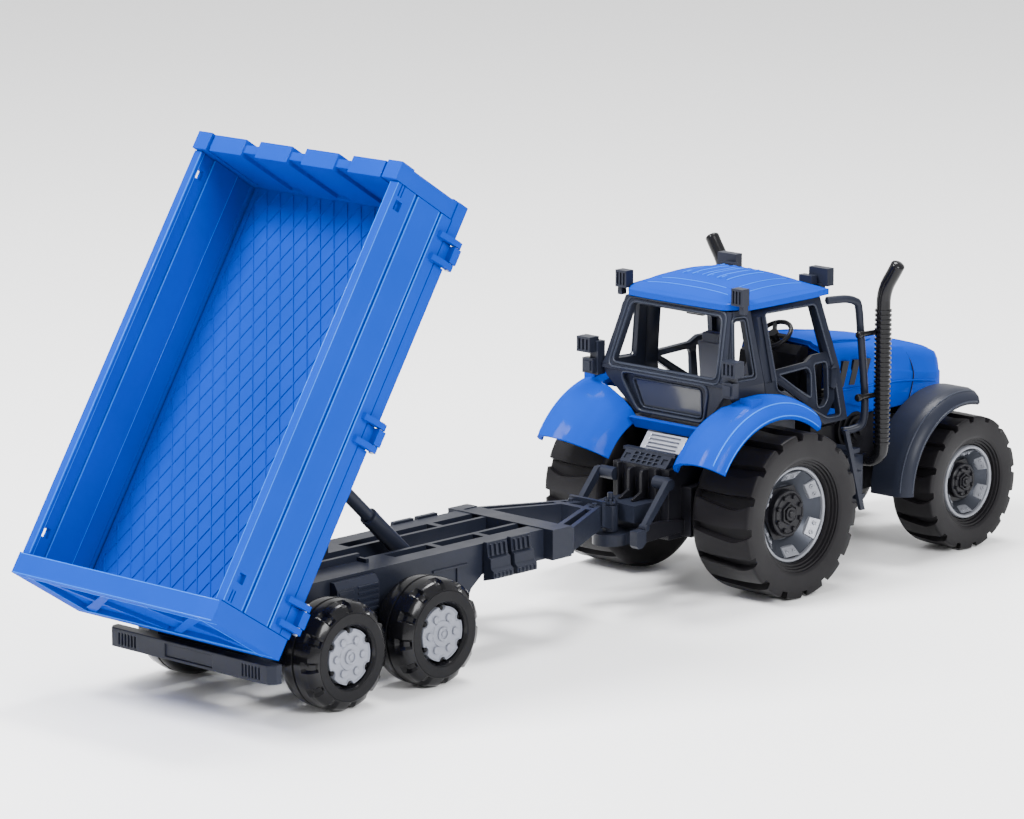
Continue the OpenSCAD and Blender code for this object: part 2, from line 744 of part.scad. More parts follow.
module trailer_chassis() {
    color(SLATE) placed() difference() {
        union() {
            both_sides() rail();
            // Crossbeam at the front, cross ties behind and around the axles.
            block([-158, -rail_in - 1, 42], [-144, rail_in + 1, rail_top]);
            both_sides() block([-158, rail_out - 1, 42.5], [chassis_front, 37.6, rail_top + 0.4]);
            block([-158, -37.6, rail_top - 0.2], [-154.4, 37.6, rail_top + 0.4]);
            block([chassis_back, -rail_in - 1, 20], [-352, rail_in + 1, 40]);
            block([-300, -rail_in - 1, 20], [-292, rail_in + 1, 28]);
            both_sides() block([chassis_back - 1, 24, 21.6], [chassis_back + 10, 40, 30]);
        }
        for (x = trailer_axles_x) y_bar(x, trailer_wheel_r, axle_r + 0.02, -60, 60);
        y_bar(strut_x, strut_z, strut_pin_r + 0.5 + run_gap, -rail_in - 6, rail_in + 6);
        y_bar(hinge_x, hinge_z, strut_pin_r + 0.02, -60, 60);
    }
}

// A-shaped drawbar with an upright end plate and a sleeve on the hitch pin.
module drawbar() {
    sleeve_r = 4.2;
    sleeve_low = 38.3;
    sleeve_h = 14.1;
    plate_x = -93;
    color(SLATE) placed() difference() {
        union() {
            translate([hitch_x, 0, sleeve_low]) cylinder(r = sleeve_r, h = sleeve_h);
            side_plate(-3.4, 3.4, [[-91, 45.5], [-75.8, 39.4], [-75.8, 51.6], [-91, 56.5]]);
            block([plate_x, -12, 45.5], [plate_x + 2.4, 12, 58.8]);
            both_sides() translate([0, 0, 44]) difference() {
                linear_extrude(12.6) polygon([[plate_x, 2], [plate_x, 11], [-143.4, 37], [-143.4, 25.6]]);
                translate([0, 0, 6]) linear_extrude(8) polygon([
                    [-97.5, 7.2], [-97.5, 10.6], [-139, 31.8], [-139, 26.6]
                ]);
            }
            block([-143.6, -37, 43.4], [-141.4, 37, 57.2]);
            both_sides() block([-104, -1, 44], [-100, 13, 56.6]);
            both_sides() translate([-95.4, 8.6, 56]) cylinder(r = 1.3, h = 2);
        }
        translate([hitch_x, 0, sleeve_low - 1]) cylinder(r = hitch_pin_r + run_gap, h = sleeve_h + 2);
    }
}

// Rear bumper with two ribbed lamp fields and a blank plate.
module bumper() {
    half = 58.8;
    back = -377.4;
    front = -370.2;
    low = 21.2;
    high = 31;
    color(SLATE) placed() difference() {
        translate([0, 0, low]) linear_extrude(high - low) polygon([
            [back, -half + 3], [back, half - 3], [back + 3.4, half], [front, half], [front, -half],
            [back + 3.4, -half]
        ]);
        block([back - 1, -17, 23], [back + 0.8, 17, 29.2]);
        both_sides() for (i = [0 : 5]) block([back - 1, 38 + 2.3 * i, 23], [back + 0.8,
            39.3 + 2.3 * i, 29]);
    }
}

// Stepped brackets on the outside of the rails, two on each side.
module side_steps() {
    step_l = 14.6;
    profile = [
        [31.9, 59], [34.6, 59], [35.4, 51.6], [37.2, 50.6], [37.6, 45.6], [39.4, 44.4], [39.4,
            40.6], [31.9, 38.6]
    ];
    color(SLATE) placed() both_sides() for (x = [-203.4, -186]) {
        cross_plate(x, x + step_l, profile);
        for (i = [0 : 3]) cross_plate(x + 1.4 + 3.4 * i, x + 3 + 3.4 * i, [[34, 58], [36, 58],
            [36.8, 52], [34, 52]]);
        for (i = [0 : 4]) cross_plate(x + 1 + 2.8 * i, x + 2.4 + 2.8 * i, [[38, 44], [40.2, 43.6],
            [40.2, 41.4], [38, 41]]);
    }
}

// Ribbed boxes on the rails between the axles.
module tool_boxes() {
    color(SLATE) placed() both_sides() {
        cross_plate(-311, -282, [[31.2, 56.4], [34, 56.4], [36.4, 53], [36.4, 38], [31.2, 36]]);
        for (i = [0 : 4]) block([-297, 36, 39.4 + 3 * i], [-283, 37.2, 40.8 + 3 * i]);
        for (i = [0 : 2]) block([-310, 36, 41 + 4.4 * i], [-300, 37, 43 + 4.4 * i]);
    }
}

module trailer_axles() {
    color(STEEL) placed() for (x = trailer_axles_x) y_bar(x, trailer_wheel_r, axle_r, -58.4, 58.4);
}

trailer_w = [38, 64.4];
disc_r = 14;

module trailer_wheel_at(axle, side) {
    placed() translate([trailer_axles_x[axle], 0, trailer_wheel_r]) outwards(side) children();
}

// Trailer tyre with its web, bored for the axle, and open outside for the disc.
module trailer_tyre(axle, side) {
    r = trailer_wheel_r;
    color(BLACK) trailer_wheel_at(axle, side) difference() {
        rotate_extrude() polygon([
            [0, 40], [15, 40], [16, trailer_w[0]], [21.8, trailer_w[0]], [25, 39.6], [r - 0.7,
                42.6], [r, 46.5],
            [r, 57.5], [r - 0.6, 60.6], [24.8, 62.6], [21.8, trailer_w[1]], [16.6, trailer_w[1]],
                [14.8, 62],
            [disc_r + 0.4, 57], [0, 57]
        ]);
        translate([0, 0, 30]) cylinder(r = axle_r + run_gap, h = 40);
    }
}

// Silver wheel disc with six bosses and six notches in its edge.
module trailer_disc(axle, side) {
    face = 62.9;
    color(SILVER) trailer_wheel_at(axle, side) difference() {
        union() {
            translate([0, 0, 57.2]) cylinder(r = disc_r, h = face - 57.2);
            ring_of(6) translate([8.6, 0, face - 0.1]) cylinder(r = 1.8, h = 0.9);
            translate([0, 0, face - 0.1]) cylinder(r = 3.6, h = 1.3);
        }
        ring_of(6, 30) translate([disc_r - 0.6, 0, face - 2.6]) cylinder(r = 2, h = 4);
        translate([0, 0, 50]) cylinder(r = axle_r + run_gap, h = 9);
    }
}

// ---- Strut ----

module strut_frame() {
    placed() translate([strut_x, 0, strut_z]) rotate([0, 90 - strut_ang, 0]) children();
}

// Barrel: thick tube with side trunnions, bored for the rod.
module strut_barrel() {
    barrel_r = 4.6;
    rod_r = 3.4;
    length = 49;
    color(SLATE) strut_frame() difference() {
        union() {
            translate([0, 0, -6]) cylinder(r = barrel_r, h = length + 6);
            translate([0, 0, length - 4]) cylinder(r = barrel_r + 0.1, h = 4);
            y_bar(0, 0, strut_pin_r + 0.5, -rail_in - 2.4, rail_in + 2.4);
        }
        translate([0, 0, -4]) cylinder(r = rod_r + run_gap, h = length + 10);
    }
}

// Rod with a cross pin that runs in the slotted cheeks under the bed.
module strut_rod() {
    rod_r = 3.4;
    inner_end = 40;
    color(SLATE) strut_frame() {
        translate([0, 0, inner_end]) cylinder(r = rod_r, h = strut_len - inner_end);
        y_bar(0, strut_len, rod_r + 0.2, -5.4, 5.4);
        y_bar(0, strut_len, strut_pin_r, -8.2, 8.2);
    }
}

// Where the cross pin is in the bed's frame when the bed is tipped by t degrees.
function pin_len(t) = strut_len + rod_rate * (t - tip) * PI / 180;
function pin_ang(t) = strut_ang + strut_swing * (t - tip);
function pin_dx(t) = strut_x - hinge_x + pin_len(t) * cos(pin_ang(t));
function pin_dz(t) = strut_z - hinge_z + pin_len(t) * sin(pin_ang(t));
function pin_at(t) = [cos(t) * pin_dx(t) + sin(t) * pin_dz(t), cos(t) * pin_dz(t) - sin(t) * pin_dx(t)];
function pin_normal(t) = let (d = pin_at(t + 1) - pin_at(t - 1)) [-d[1], d[0]] / norm(d);

// Slotted cheek under the floor, one on each side of the rod.
module slot_cheek() {
    half = strut_pin_r + 0.45;
    from = 14;
    turns = [for (i = [0 : 12]) from + (tip - from) * i / 12];
    ends = pin_at(from - 4);
    last = pin_at(tip);
    difference() {
        side_plate(6, 8, [[52, floor_low + 0.4], [106, floor_low + 0.4], [104, -6.6], [92, -6.6],
            [80, 2.4], [56, 5]]);
        side_plate(5, 9, concat(
            [for (t = turns) pin_at(t) + half * pin_normal(t)],
            [for (i = [12 : -1 : 0]) pin_at(turns[i]) - half * pin_normal(turns[i])]
        ));
        y_bar(ends[0] + 0.6, ends[1] + 0.2, half + 1.2, 5, 9);
        y_bar(last[0], last[1], half, 5, 9);
    }
}

// ---- Bed ----

// Moves a shape to each knuckle of a side board.
module at_knuckles() {
    for (s = knuckles_s) translate([s, 0, 0]) children();
}

module knuckle_notches() {
    at_knuckles() for (d = [-1, 1]) block(
        [d * lug_offset - lug_t / 2 - part_gap, side_y - 1.6, knuckle_h - 5],
        [d * lug_offset + lug_t / 2 + part_gap, side_y + 4, board_low + 1]
    );
}

module bed_floor() {
    skirt_t = 4;
    color(BLUE) on_bed() difference() {
        union() {
            block([board_back, -65.4, floor_low], [board_front + 0.4, 65.4, floor_top]);
            both_sides() {
                block([board_back, side_y - skirt_t, bed_under], [board_front + 9.8, side_y,
                    floor_top - 1]);
                block([board_back, 65, floor_low], [board_front + 0.4, side_y - 1, floor_top - 1]);
                at_knuckles() block([-4, side_y - 2, knuckle_h - 2.4], [4, side_y + 3.6, knuckle_h + 2.6]);
                // Ribs that rest on the rails, and the bead along each side of the floor.
                block([-6, 23, 10.4], [206, 25, floor_low + 0.4]);
                block([board_back, 62.4, floor_top - 0.8], [board_front, 65, floor_top + 0.9]);
                slot_cheek();
                // Ears of the tipping hinge.
                side_plate(32, 36, [[-5, -3.4], [3.4, -5], [9, floor_low + 0.4], [-8.6, floor_low + 0.4]]);
            }
            block([board_front, -side_y, bed_under], [board_front + 9.8, side_y, floor_top - 0.6]);
            block([board_back, -side_y, bed_under], [board_back + 2.8, side_y, floor_low + 1]);
            for (y = gate_lugs_y) block([gate_hinge_s - 2.6, y - 4, gate_hinge_h - 2.4], [-8,
                y + 4, gate_hinge_h + 2.4]);
            for (y = gate_lugs_y) block([-9, y - 4, gate_hinge_h - 2.4], [-5.8, y + 4, bed_under + 2]);
        }
        both_sides() knuckle_notches();
        for (s = [-1, 1]) at_knuckles() translate([-20, s * knuckle_y, knuckle_h]) rotate([0, 90, 0])
            cylinder(r = knuckle_pin_r + 0.02, h = 40);
        for (y = gate_lugs_y) y_bar(gate_hinge_s, gate_hinge_h, knuckle_pin_r + 0.02, y - 20, y + 20);
        y_bar(0, 0, strut_pin_r + run_gap, -60, -28);
        y_bar(0, 0, strut_pin_r + run_gap, 28, 60);
    }
}

// Front wall with upright pads, and square posts at its corners.
module bed_front_wall() {
    back = board_front + 0.4;
    front = board_front + 9.8;
    pad_w = 22.6;
    pad_pitch = 32.6;
    color(BLUE) on_bed() {
        block([back + 2, -62.6, floor_top - 0.4], [front - 3, 62.6, bed_top - 1.2]);
        for (i = [0 : 3]) block(
            [back, pad_pitch * (i - 1.5) - pad_w / 2, floor_top - 0.4],
            [front - 0.6, pad_pitch * (i - 1.5) + pad_w / 2, bed_top]
        );
        both_sides() {
            block([back, 62.4, floor_top - 0.4], [front - 0.6, side_y - 0.6, bed_top - 4]);
            block([back, 62, bed_top - 9], [front, side_y, bed_top + 0.8]);
        }
        block([back, -side_y + 0.6, floor_top - 0.4], [front, side_y - 0.6, floor_top + 3]);
    }
}

// Tailgate: thick frame with posts and a recessed outer panel with slanting ribs.
module tailgate() {
    back = bed_back;
    front = -9;
    color(BLUE) on_bed() difference() {
        union() {
            block([back + 3, -side_y + 0.4, 12], [front, side_y - 0.4, bed_top - 0.4]);
            block([back, -side_y, bed_top - 5], [front, side_y, bed_top]);
            block([back, -side_y, 12], [front - 5, side_y, 16.6]);
            both_sides() block([back, side_y - 11, 12], [front, side_y, bed_top]);
            both_sides() side_plate_between(back + 0.8, back + 4);
            for (y = gate_lugs_y, d = [-1, 1]) side_plate(y + d * lug_offset - lug_t / 2,
                y + d * lug_offset + lug_t / 2, [
                [gate_hinge_s - 2.6, 13], [gate_hinge_s - 2.6, gate_hinge_h - 1.4],
                    [gate_hinge_s - 1, gate_hinge_h - 2.6],
                [gate_hinge_s + 1.4, gate_hinge_h - 2.4], [gate_hinge_s + 2.6, gate_hinge_h],
                    [gate_hinge_s + 2.6, 13]
            ]);
        }
        for (y = gate_lugs_y) y_bar(gate_hinge_s, gate_hinge_h, knuckle_pin_r + run_gap, y - 20, y + 20);
        for (y = gate_lugs_y) block([gate_hinge_s - 4, y - 4.4, 0], [front + 1, y + 4.4,
            gate_hinge_h + 4.2]);
    }
}

// Slanting ribs on the tailgate's outer face, drawn for one side.
module side_plate_between(s_low, s_high) {
    cross_plate(s_low, s_high, [[2, 17], [8, 17], [58, 56], [58, 60], [54, 60]]);
    cross_plate(s_low, s_high, [[54, 17], [58, 17], [58, 21], [8, 60], [2, 60]]);
}

// Side board: three bands between two long grooves, with its hinge lugs and latch slits.
module side_board() {
    y_out = side_y - 0.2;
    y_in = y_out - 5;
    bands = [[board_low, 26], [28, 45], [47.4, 61.4]];
    difference() {
        union() {
            for (b = bands) block([board_back, y_out - 2.6, b[0]], [board_front, y_out, b[1]]);
            block([board_back, y_in + 1.2, board_low], [board_front, y_out - 1.4, 61.4]);
            block([board_back, y_in, 59], [board_front, y_out, 61.6]);
            block([board_back, y_in, board_low], [board_front, y_out, board_low + 2.6]);
            block([board_back, y_in - 0.4, 33], [board_front, y_in + 1.4, 51]);
            at_knuckles() for (d = [-1, 1]) translate([d * lug_offset - lug_t / 2, 0,
                0]) cross_plate(0, lug_t, [
                [y_out - 1.2, 24], [y_out - 1.2, board_low + 0.2], [knuckle_y - 1.5, 13.4],
                    [knuckle_y - 1.5, knuckle_h],
                [knuckle_y - 1.1, knuckle_h - 2], [knuckle_y + 1, knuckle_h - 2.4],
                    [knuckle_y + 2.2, knuckle_h - 1.2],
                [knuckle_y + 2.4, 16], [knuckle_y + 0.4, 23]
            ]);
        }
        for (s = [2.4, 198.6]) block([s, 50, 53.4], [s + 5, side_y + 9, 58]);
        for (s = [board_back - 0.4, 204], h = [55.6, 57.6]) block([s + 1.4, y_out - 0.8, h],
            [s + 7.4, y_out + 1, h + 0.8]);
        at_knuckles() translate([-20, knuckle_y, knuckle_h]) rotate([0, 90, 0])
            cylinder(r = knuckle_pin_r + run_gap, h = 40);
    }
}

module side_board_left() {
    color(BLUE) on_bed() side_board();
}

module side_board_right() {
    color(BLUE) on_bed() mirror([0, 1, 0]) side_board();
}

// Pins of the side boards' knuckles and of the tailgate's hinge.
module board_hinge_pins() {
    reach = lug_offset + lug_t / 2 + 0.6;
    color(STEEL) on_bed() {
        for (s = knuckles_s, side = [-1, 1]) x_bar(side * knuckle_y, knuckle_h, knuckle_pin_r,
            s - reach, s + reach);
        for (y = gate_lugs_y) y_bar(gate_hinge_s, gate_hinge_h, knuckle_pin_r, y - reach, y + reach);
    }
}

module tip_hinge_pin() {
    color(STEEL) on_bed() y_bar(0, 0, strut_pin_r, -36.6, 36.6);
}

tractor_chassis();
engine_block();
rear_axle();
front_axle();
rear_cover();
rear_grille();
three_point_linkage();
hitch_coupler();
hood();
front_grille();
cab_frame();
cab_doors();
roof();
roof_lamps();
side_lamps();
seat();
cab_floor();
dashboard();
steering_wheel();
ceiling_mirror();
rear_fenders();
front_fenders();
exhaust_stacks();
grab_rails();
access_steps();
rear_tyre(1);  // rear_tyre_left
rear_tyre(-1);  // rear_tyre_right
rear_rim(1);  // rear_rim_left
rear_rim(-1);  // rear_rim_right
rear_hub(1);  // rear_hub_left
rear_hub(-1);  // rear_hub_right
front_tyre(1);  // front_tyre_left
front_tyre(-1);  // front_tyre_right
front_rim(1);  // front_rim_left
front_rim(-1);  // front_rim_right
front_hub(1);  // front_hub_left
front_hub(-1);  // front_hub_right
trailer_chassis();
drawbar();
bumper();
side_steps();
tool_boxes();
trailer_axles();
trailer_tyre(0, 1);  // trailer_tyre_front_left
trailer_tyre(0, -1);  // trailer_tyre_front_right
trailer_tyre(1, 1);  // trailer_tyre_rear_left
trailer_tyre(1, -1);  // trailer_tyre_rear_right
trailer_disc(0, 1);  // trailer_disc_front_left
trailer_disc(0, -1);  // trailer_disc_front_right
trailer_disc(1, 1);  // trailer_disc_rear_left
trailer_disc(1, -1);  // trailer_disc_rear_right
strut_barrel();
strut_rod();
tip_hinge_pin();
bed_floor();
bed_front_wall();
tailgate();
side_board_left();
side_board_right();
board_hinge_pins();
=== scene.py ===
"""Looks of the toy tractor with its tipping trailer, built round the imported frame.

Sizes are in millimetres; the matrices TRACTOR and BED and those of wheel_frame() turn them into
Blender's metres. Only roof() and the lights, floor and camera are written in metres.
"""
import json
import math

import bmesh
import bpy
from mathutils import Matrix, Vector


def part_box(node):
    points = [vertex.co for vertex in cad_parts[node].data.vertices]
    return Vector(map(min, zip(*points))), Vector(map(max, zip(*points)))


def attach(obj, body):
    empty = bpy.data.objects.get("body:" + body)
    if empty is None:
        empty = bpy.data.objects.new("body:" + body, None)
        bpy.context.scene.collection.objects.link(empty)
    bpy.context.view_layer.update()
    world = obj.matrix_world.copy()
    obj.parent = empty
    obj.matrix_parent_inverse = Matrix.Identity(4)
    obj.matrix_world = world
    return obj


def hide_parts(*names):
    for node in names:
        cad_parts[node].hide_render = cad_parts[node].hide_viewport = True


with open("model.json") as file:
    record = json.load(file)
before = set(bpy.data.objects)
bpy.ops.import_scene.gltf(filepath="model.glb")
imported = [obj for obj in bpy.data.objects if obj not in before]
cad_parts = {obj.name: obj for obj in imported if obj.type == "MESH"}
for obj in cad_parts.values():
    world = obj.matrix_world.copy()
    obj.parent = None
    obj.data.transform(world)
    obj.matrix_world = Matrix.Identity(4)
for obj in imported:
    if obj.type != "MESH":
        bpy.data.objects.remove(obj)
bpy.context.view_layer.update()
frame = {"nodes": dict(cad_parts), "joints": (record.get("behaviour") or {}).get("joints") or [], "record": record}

MM = 0.001


# ---- Places, from the frame ----

def middle_of(node):
    """The middle of a node's box, in metres."""
    low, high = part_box(node)
    return (low + high) / 2


def radius_of(node):
    """The radius of a wheel's node, in millimetres."""
    low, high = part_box(node)
    return (high.z - low.z) / 2 / MM


def faces_of(node):
    """How far a node's inner and outer faces are from the toy's middle plane, in millimetres."""
    low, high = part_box(node)
    return min(abs(low.y), abs(high.y)) / MM, max(abs(low.y), abs(high.y)) / MM


AXLE = middle_of("rear_axle")
HINGE = middle_of("tip_hinge_pin")
tip_joint = next(j for j in frame["joints"] if j["name"] == "bed_tip")
TIP = -math.radians(tip_joint["range_deg"][0])

# The tractor is measured from below its rear axle, with Z from the ground. The raised bed is
# measured from its hinge, with X up along the floor and Z out of it.
TRACTOR = Matrix.Translation((AXLE.x, 0, 0)) @ Matrix.Scale(MM, 4)
BED = Matrix.Translation((HINGE.x, 0, HINGE.z)) @ Matrix.Rotation(-TIP, 4, "Y")
BED = BED @ Matrix.Scale(MM, 4)


def wheel_frame(node, side):
    """Millimetres round a wheel's axle: Z runs outwards from the toy's middle plane."""
    place = middle_of(node)
    turn = Matrix.Rotation(math.radians(-90 if side > 0 else 90), 4, "X")
    return Matrix.Translation((place.x, 0, place.z)) @ turn @ Matrix.Scale(MM, 4)


def ring_places(matrix, count, r, height, first=0):
    """Matrices at even places on a circle about Z; first is the first one's angle in degrees."""
    for k in range(count):
        a = math.radians(360 / count * k + first)
        yield matrix @ Matrix.Translation((r * math.cos(a), r * math.sin(a), height))


def mirrored(points, side):
    """The points with Y on the given side of the toy's middle plane."""
    return [(x, side * y, z) for x, y, z in points]


# ---- Materials ----

COLOUR_DRIFT = 0.05
GLOSS_DRIFT = 0.15
DRIFT_SCALE, GLOSS_SCALE, GRAIN_SCALE = 22, 60, 1500
GRAIN_HEIGHT = 0.00012


def moulded(name, colour, rough, grain, coat=0.0, metal=0.0, shine=0.12):
    """Moulded plastic or paint: fine surface grain, and a slow drift in gloss and colour."""
    mat = bpy.data.materials.new(name)
    mat.use_nodes = True
    nodes, links = mat.node_tree.nodes, mat.node_tree.links
    bsdf = nodes["Principled BSDF"]
    bsdf.inputs["Metallic"].default_value = metal
    bsdf.inputs["Coat Weight"].default_value = coat
    bsdf.inputs["Specular IOR Level"].default_value = shine
    bsdf.inputs["Coat Roughness"].default_value = 0.12
    place = nodes.new("ShaderNodeTexCoord").outputs["Object"]

    def noise(scale, detail):
        n = nodes.new("ShaderNodeTexNoise")
        n.inputs["Scale"].default_value = scale
        n.inputs["Detail"].default_value = detail
        links.new(place, n.inputs["Vector"])
        return n.outputs["Fac"]

    def ranged(source, low, high):
        r = nodes.new("ShaderNodeMapRange")
        r.inputs["From Min"].default_value = 0.3
        r.inputs["From Max"].default_value = 0.7
        r.inputs["To Min"].default_value = low
        r.inputs["To Max"].default_value = high
        links.new(source, r.inputs["Value"])
        return r.outputs["Result"]

    mix = nodes.new("ShaderNodeMix")
    mix.data_type = "RGBA"
    mix.inputs["A"].default_value = (*[c * (1 - COLOUR_DRIFT) for c in colour], 1)
    mix.inputs["B"].default_value = (*[c * (1 + COLOUR_DRIFT) for c in colour], 1)
    links.new(ranged(noise(DRIFT_SCALE, 3), 0, 1), mix.inputs["Factor"])
    links.new(mix.outputs["Result"], bsdf.inputs["Base Color"])
    gloss = ranged(noise(GLOSS_SCALE, 4), rough * (1 - GLOSS_DRIFT), rough * (1 + GLOSS_DRIFT))
    links.new(gloss, bsdf.inputs["Roughness"])
    bump = nodes.new("ShaderNodeBump")
    bump.inputs["Strength"].default_value = grain
    bump.inputs["Distance"].default_value = GRAIN_HEIGHT
    links.new(noise(GRAIN_SCALE, 2), bump.inputs["Height"])
    links.new(bump.outputs["Normal"], bsdf.inputs["Normal"])
    return mat


BLUE = (0.0, 0.033, 0.30)
SLATE = (0.010, 0.012, 0.020)

mats = {
    "blue_plastic": moulded("blue_plastic", BLUE, 0.32, 0.22, coat=0.05, shine=0.0),
    "slate_plastic": moulded("slate_plastic", SLATE, 0.36, 0.30),
    "black_plastic": moulded("black_plastic", (0.006, 0.006, 0.008), 0.34, 0.25),
    "black_tyre": moulded("black_tyre", (0.006, 0.0056, 0.0066), 0.42, 0.30, shine=0.1),
    "silver_plastic": moulded("silver_plastic", (0.27, 0.28, 0.32), 0.36, 0.25, metal=0.5),
    "grey_plastic": moulded("grey_plastic", (0.06, 0.063, 0.078), 0.45, 0.30),
    "steel": moulded("steel", (0.50, 0.51, 0.53), 0.30, 0.15, metal=1.0),
}
dark_metal = moulded("dark_metal", (0.026, 0.029, 0.037), 0.34, 0.2, metal=0.45)
gloss_black = moulded("gloss_black", (0.004, 0.004, 0.005), 0.2, 0.12, coat=0.12)
band_black = moulded("band_black", (0.006, 0.006, 0.007), 0.5, 0.35, shine=0.1)
# A lighter copy of the slate: painted highlight on beads round the cab's windows and along the front fenders.
highlight_slate = moulded("highlight_slate", (0.018, 0.022, 0.034), 0.3, 0.25, shine=0.18)
smoky = moulded("smoky", (0.030, 0.032, 0.036), 0.16, 0.1, coat=0.5)
# A lighter copy of the blue: painted highlight on beads along the roof, the bed's boards, the tailgate and the
# rear fenders.
highlight_blue = moulded("highlight_blue", (0.006, 0.115, 0.58), 0.3, 0.2, coat=0.15, shine=0.0)
rim_silver = moulded("rim_silver", (0.175, 0.182, 0.205), 0.34, 0.25, metal=0.4)
pale_disc = moulded("pale_disc", (0.19, 0.20, 0.235), 0.42, 0.3, metal=0.3)


# ---- Mesh building ----

SHARP = 32
WELD_GAP = 0.00001
# Four corners of one side of a slab, then the four of the other side, in the same order. A ridge
# is a slab without the side that is sunk in the floor.
SLAB = [(0, 1, 2, 3), (7, 6, 5, 4), (0, 4, 5, 1), (1, 5, 6, 2), (2, 6, 7, 3), (3, 7, 4, 0)]
RIDGE = [(4, 5, 6, 7), (0, 1, 5, 4), (1, 2, 6, 5), (2, 3, 7, 6), (3, 0, 4, 7)]

# A direction that no tube runs along, and a tube's end as (share of its radius, distance out).
TUBE_UP = Vector((0.31, 0.95, 0.05))
DOME = ((0.02, 0.45), (0.6, 0.36), (0.9, 0.18))


def ring(middle, across, over, r, sides):
    """A circle of points about the middle."""
    turns = (2 * math.pi * s / sides for s in range(sides))
    return [middle + (across * math.cos(t) + over * math.sin(t)) * r for t in turns]


class Shape:
    """Vertices and faces of one piece."""

    def __init__(self):
        self.verts = []
        self.faces = []

    def add(self, verts, faces, matrix=None):
        """Adds vertices, placed by the matrix, and the faces that count them from 0."""
        first = len(self.verts)
        self.verts += [matrix @ Vector(v) if matrix else Vector(v) for v in verts]
        self.faces += [tuple(first + i for i in f) for f in faces]
        return self

    def prism(self, outline, low, high, matrix=None):
        """An outline in X and Y, from low to high along Z."""
        n = len(outline)
        verts = [(x, y, z) for z in (low, high) for x, y in outline]
        faces = [tuple(reversed(range(n))), tuple(range(n, 2 * n))]
        faces += [(i, (i + 1) % n, n + (i + 1) % n, n + i) for i in range(n)]
        return self.add(verts, faces, matrix)

    def grid(self, rows, closed_u=False, closed_v=False, matrix=None):
        """A surface over rows of points; u runs along a row and v from row to row."""
        m, n = len(rows), len(rows[0])
        verts = [p for row in rows for p in row]
        faces = []
        for j in range(m if closed_v else m - 1):
            for i in range(n if closed_u else n - 1):
                a, b = j * n, ((j + 1) % m) * n
                faces.append((a + i, a + (i + 1) % n, b + (i + 1) % n, b + i))
        return self.add(verts, faces, matrix)

    def lathe(self, profile, turns=96, closed=True, matrix=None):
        """Turns (radius, height) points about Z."""
        rows = []
        for k in range(turns):
            a = 2 * math.pi * k / turns
            rows.append([(r * math.cos(a), r * math.sin(a), w) for r, w in profile])
        return self.grid(rows, closed_u=closed, closed_v=True, matrix=matrix)

    def tube(self, path, r, sides=20, matrix=None):
        """A round tube with domed ends through the points of a path."""
        points = [Vector(p) for p in path]
        rows = []
        for i, p in enumerate(points):
            ahead = (points[min(i + 1, len(points) - 1)] - points[max(i - 1, 0)]).normalized()
            across = ahead.cross(TUBE_UP).normalized()
            over = ahead.cross(across)
            if i == 0:
                rows += [ring(p - ahead * r * g, across, over, r * f, sides) for f, g in DOME]
            rows.append(ring(p, across, over, r, sides))
            if i == len(points) - 1:
                rows += [ring(p + ahead * r * g, across, over, r * f, sides)
                         for f, g in reversed(DOME)]
        return self.grid(rows, closed_u=True, matrix=matrix)

    def loop(self, path, r, facing, sides=10, matrix=None):
        """A closed bead through the points of a path that lies in a plane facing the given way."""
        points = [Vector(p) for p in path]
        facing = Vector(facing).normalized()
        rows = []
        for i, p in enumerate(points):
            ahead = (points[(i + 1) % len(points)] - points[i - 1]).normalized()
            across = ahead.cross(facing).normalized()
            over = across.cross(ahead)
            rows.append(ring(p, across, over, r, sides))
        return self.grid(rows, closed_u=True, closed_v=True, matrix=matrix)

    def piece(self, name, body, slot, material=None, stands_for=(), sharp=SHARP, bevel=0.0):
        """Makes the Blender object, with its faces turned outwards, and puts it on its body."""
        mesh = bpy.data.meshes.new(name)
        mesh.from_pydata([tuple(v) for v in self.verts], [], self.faces)
        mesh.validate()
        facing = bmesh.new()
        facing.from_mesh(mesh)
        bmesh.ops.recalc_face_normals(facing, faces=facing.faces)
        facing.to_mesh(mesh)
        facing.free()
        mesh.update()
        obj = bpy.data.objects.new(name, mesh)
        bpy.context.scene.collection.objects.link(obj)
        mesh.materials.append(material or mats[slot])
        mesh.shade_smooth()
        mesh.set_sharp_from_angle(angle=math.radians(sharp))
        if bevel:
            soften(obj, bevel)
        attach(obj, body)
        if stands_for:
            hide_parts(*stands_for)
        return obj


def soften(obj, width, weld=0.0):
    """Rounds the moulded edges of a piece, after joining points closer together than weld."""
    if weld:
        join = obj.modifiers.new("weld", "WELD")
        join.merge_threshold = weld
    edge = obj.modifiers.new("bevel", "BEVEL")
    edge.width = width * MM
    edge.segments = 2
    edge.limit_method = "ANGLE"
    edge.angle_limit = math.radians(SHARP)
    normals = obj.modifiers.new("normals", "WEIGHTED_NORMAL")
    normals.weight = 100


def smooth_path(points, steps=6):
    """Catmull-Rom curve through the points."""
    p = [Vector(q) for q in points]
    p = [2 * p[0] - p[1]] + p + [2 * p[-1] - p[-2]]
    out = []
    for i in range(1, len(p) - 2):
        a, b, c, d = p[i - 1], p[i], p[i + 1], p[i + 2]
        for k in range(steps):
            t = k / steps
            out.append(0.5 * (2 * b + (c - a) * t + (2 * a - 5 * b + 4 * c - d) * t * t
                              + (3 * b - a - 3 * c + d) * t ** 3))
    return out + [p[-2]]


def between(start, end, step):
    """Points strictly between two, about a step apart."""
    gap = end - start
    count = int(gap.length / step)
    return [start + gap * k / (count + 1) for k in range(1, count + 1)]


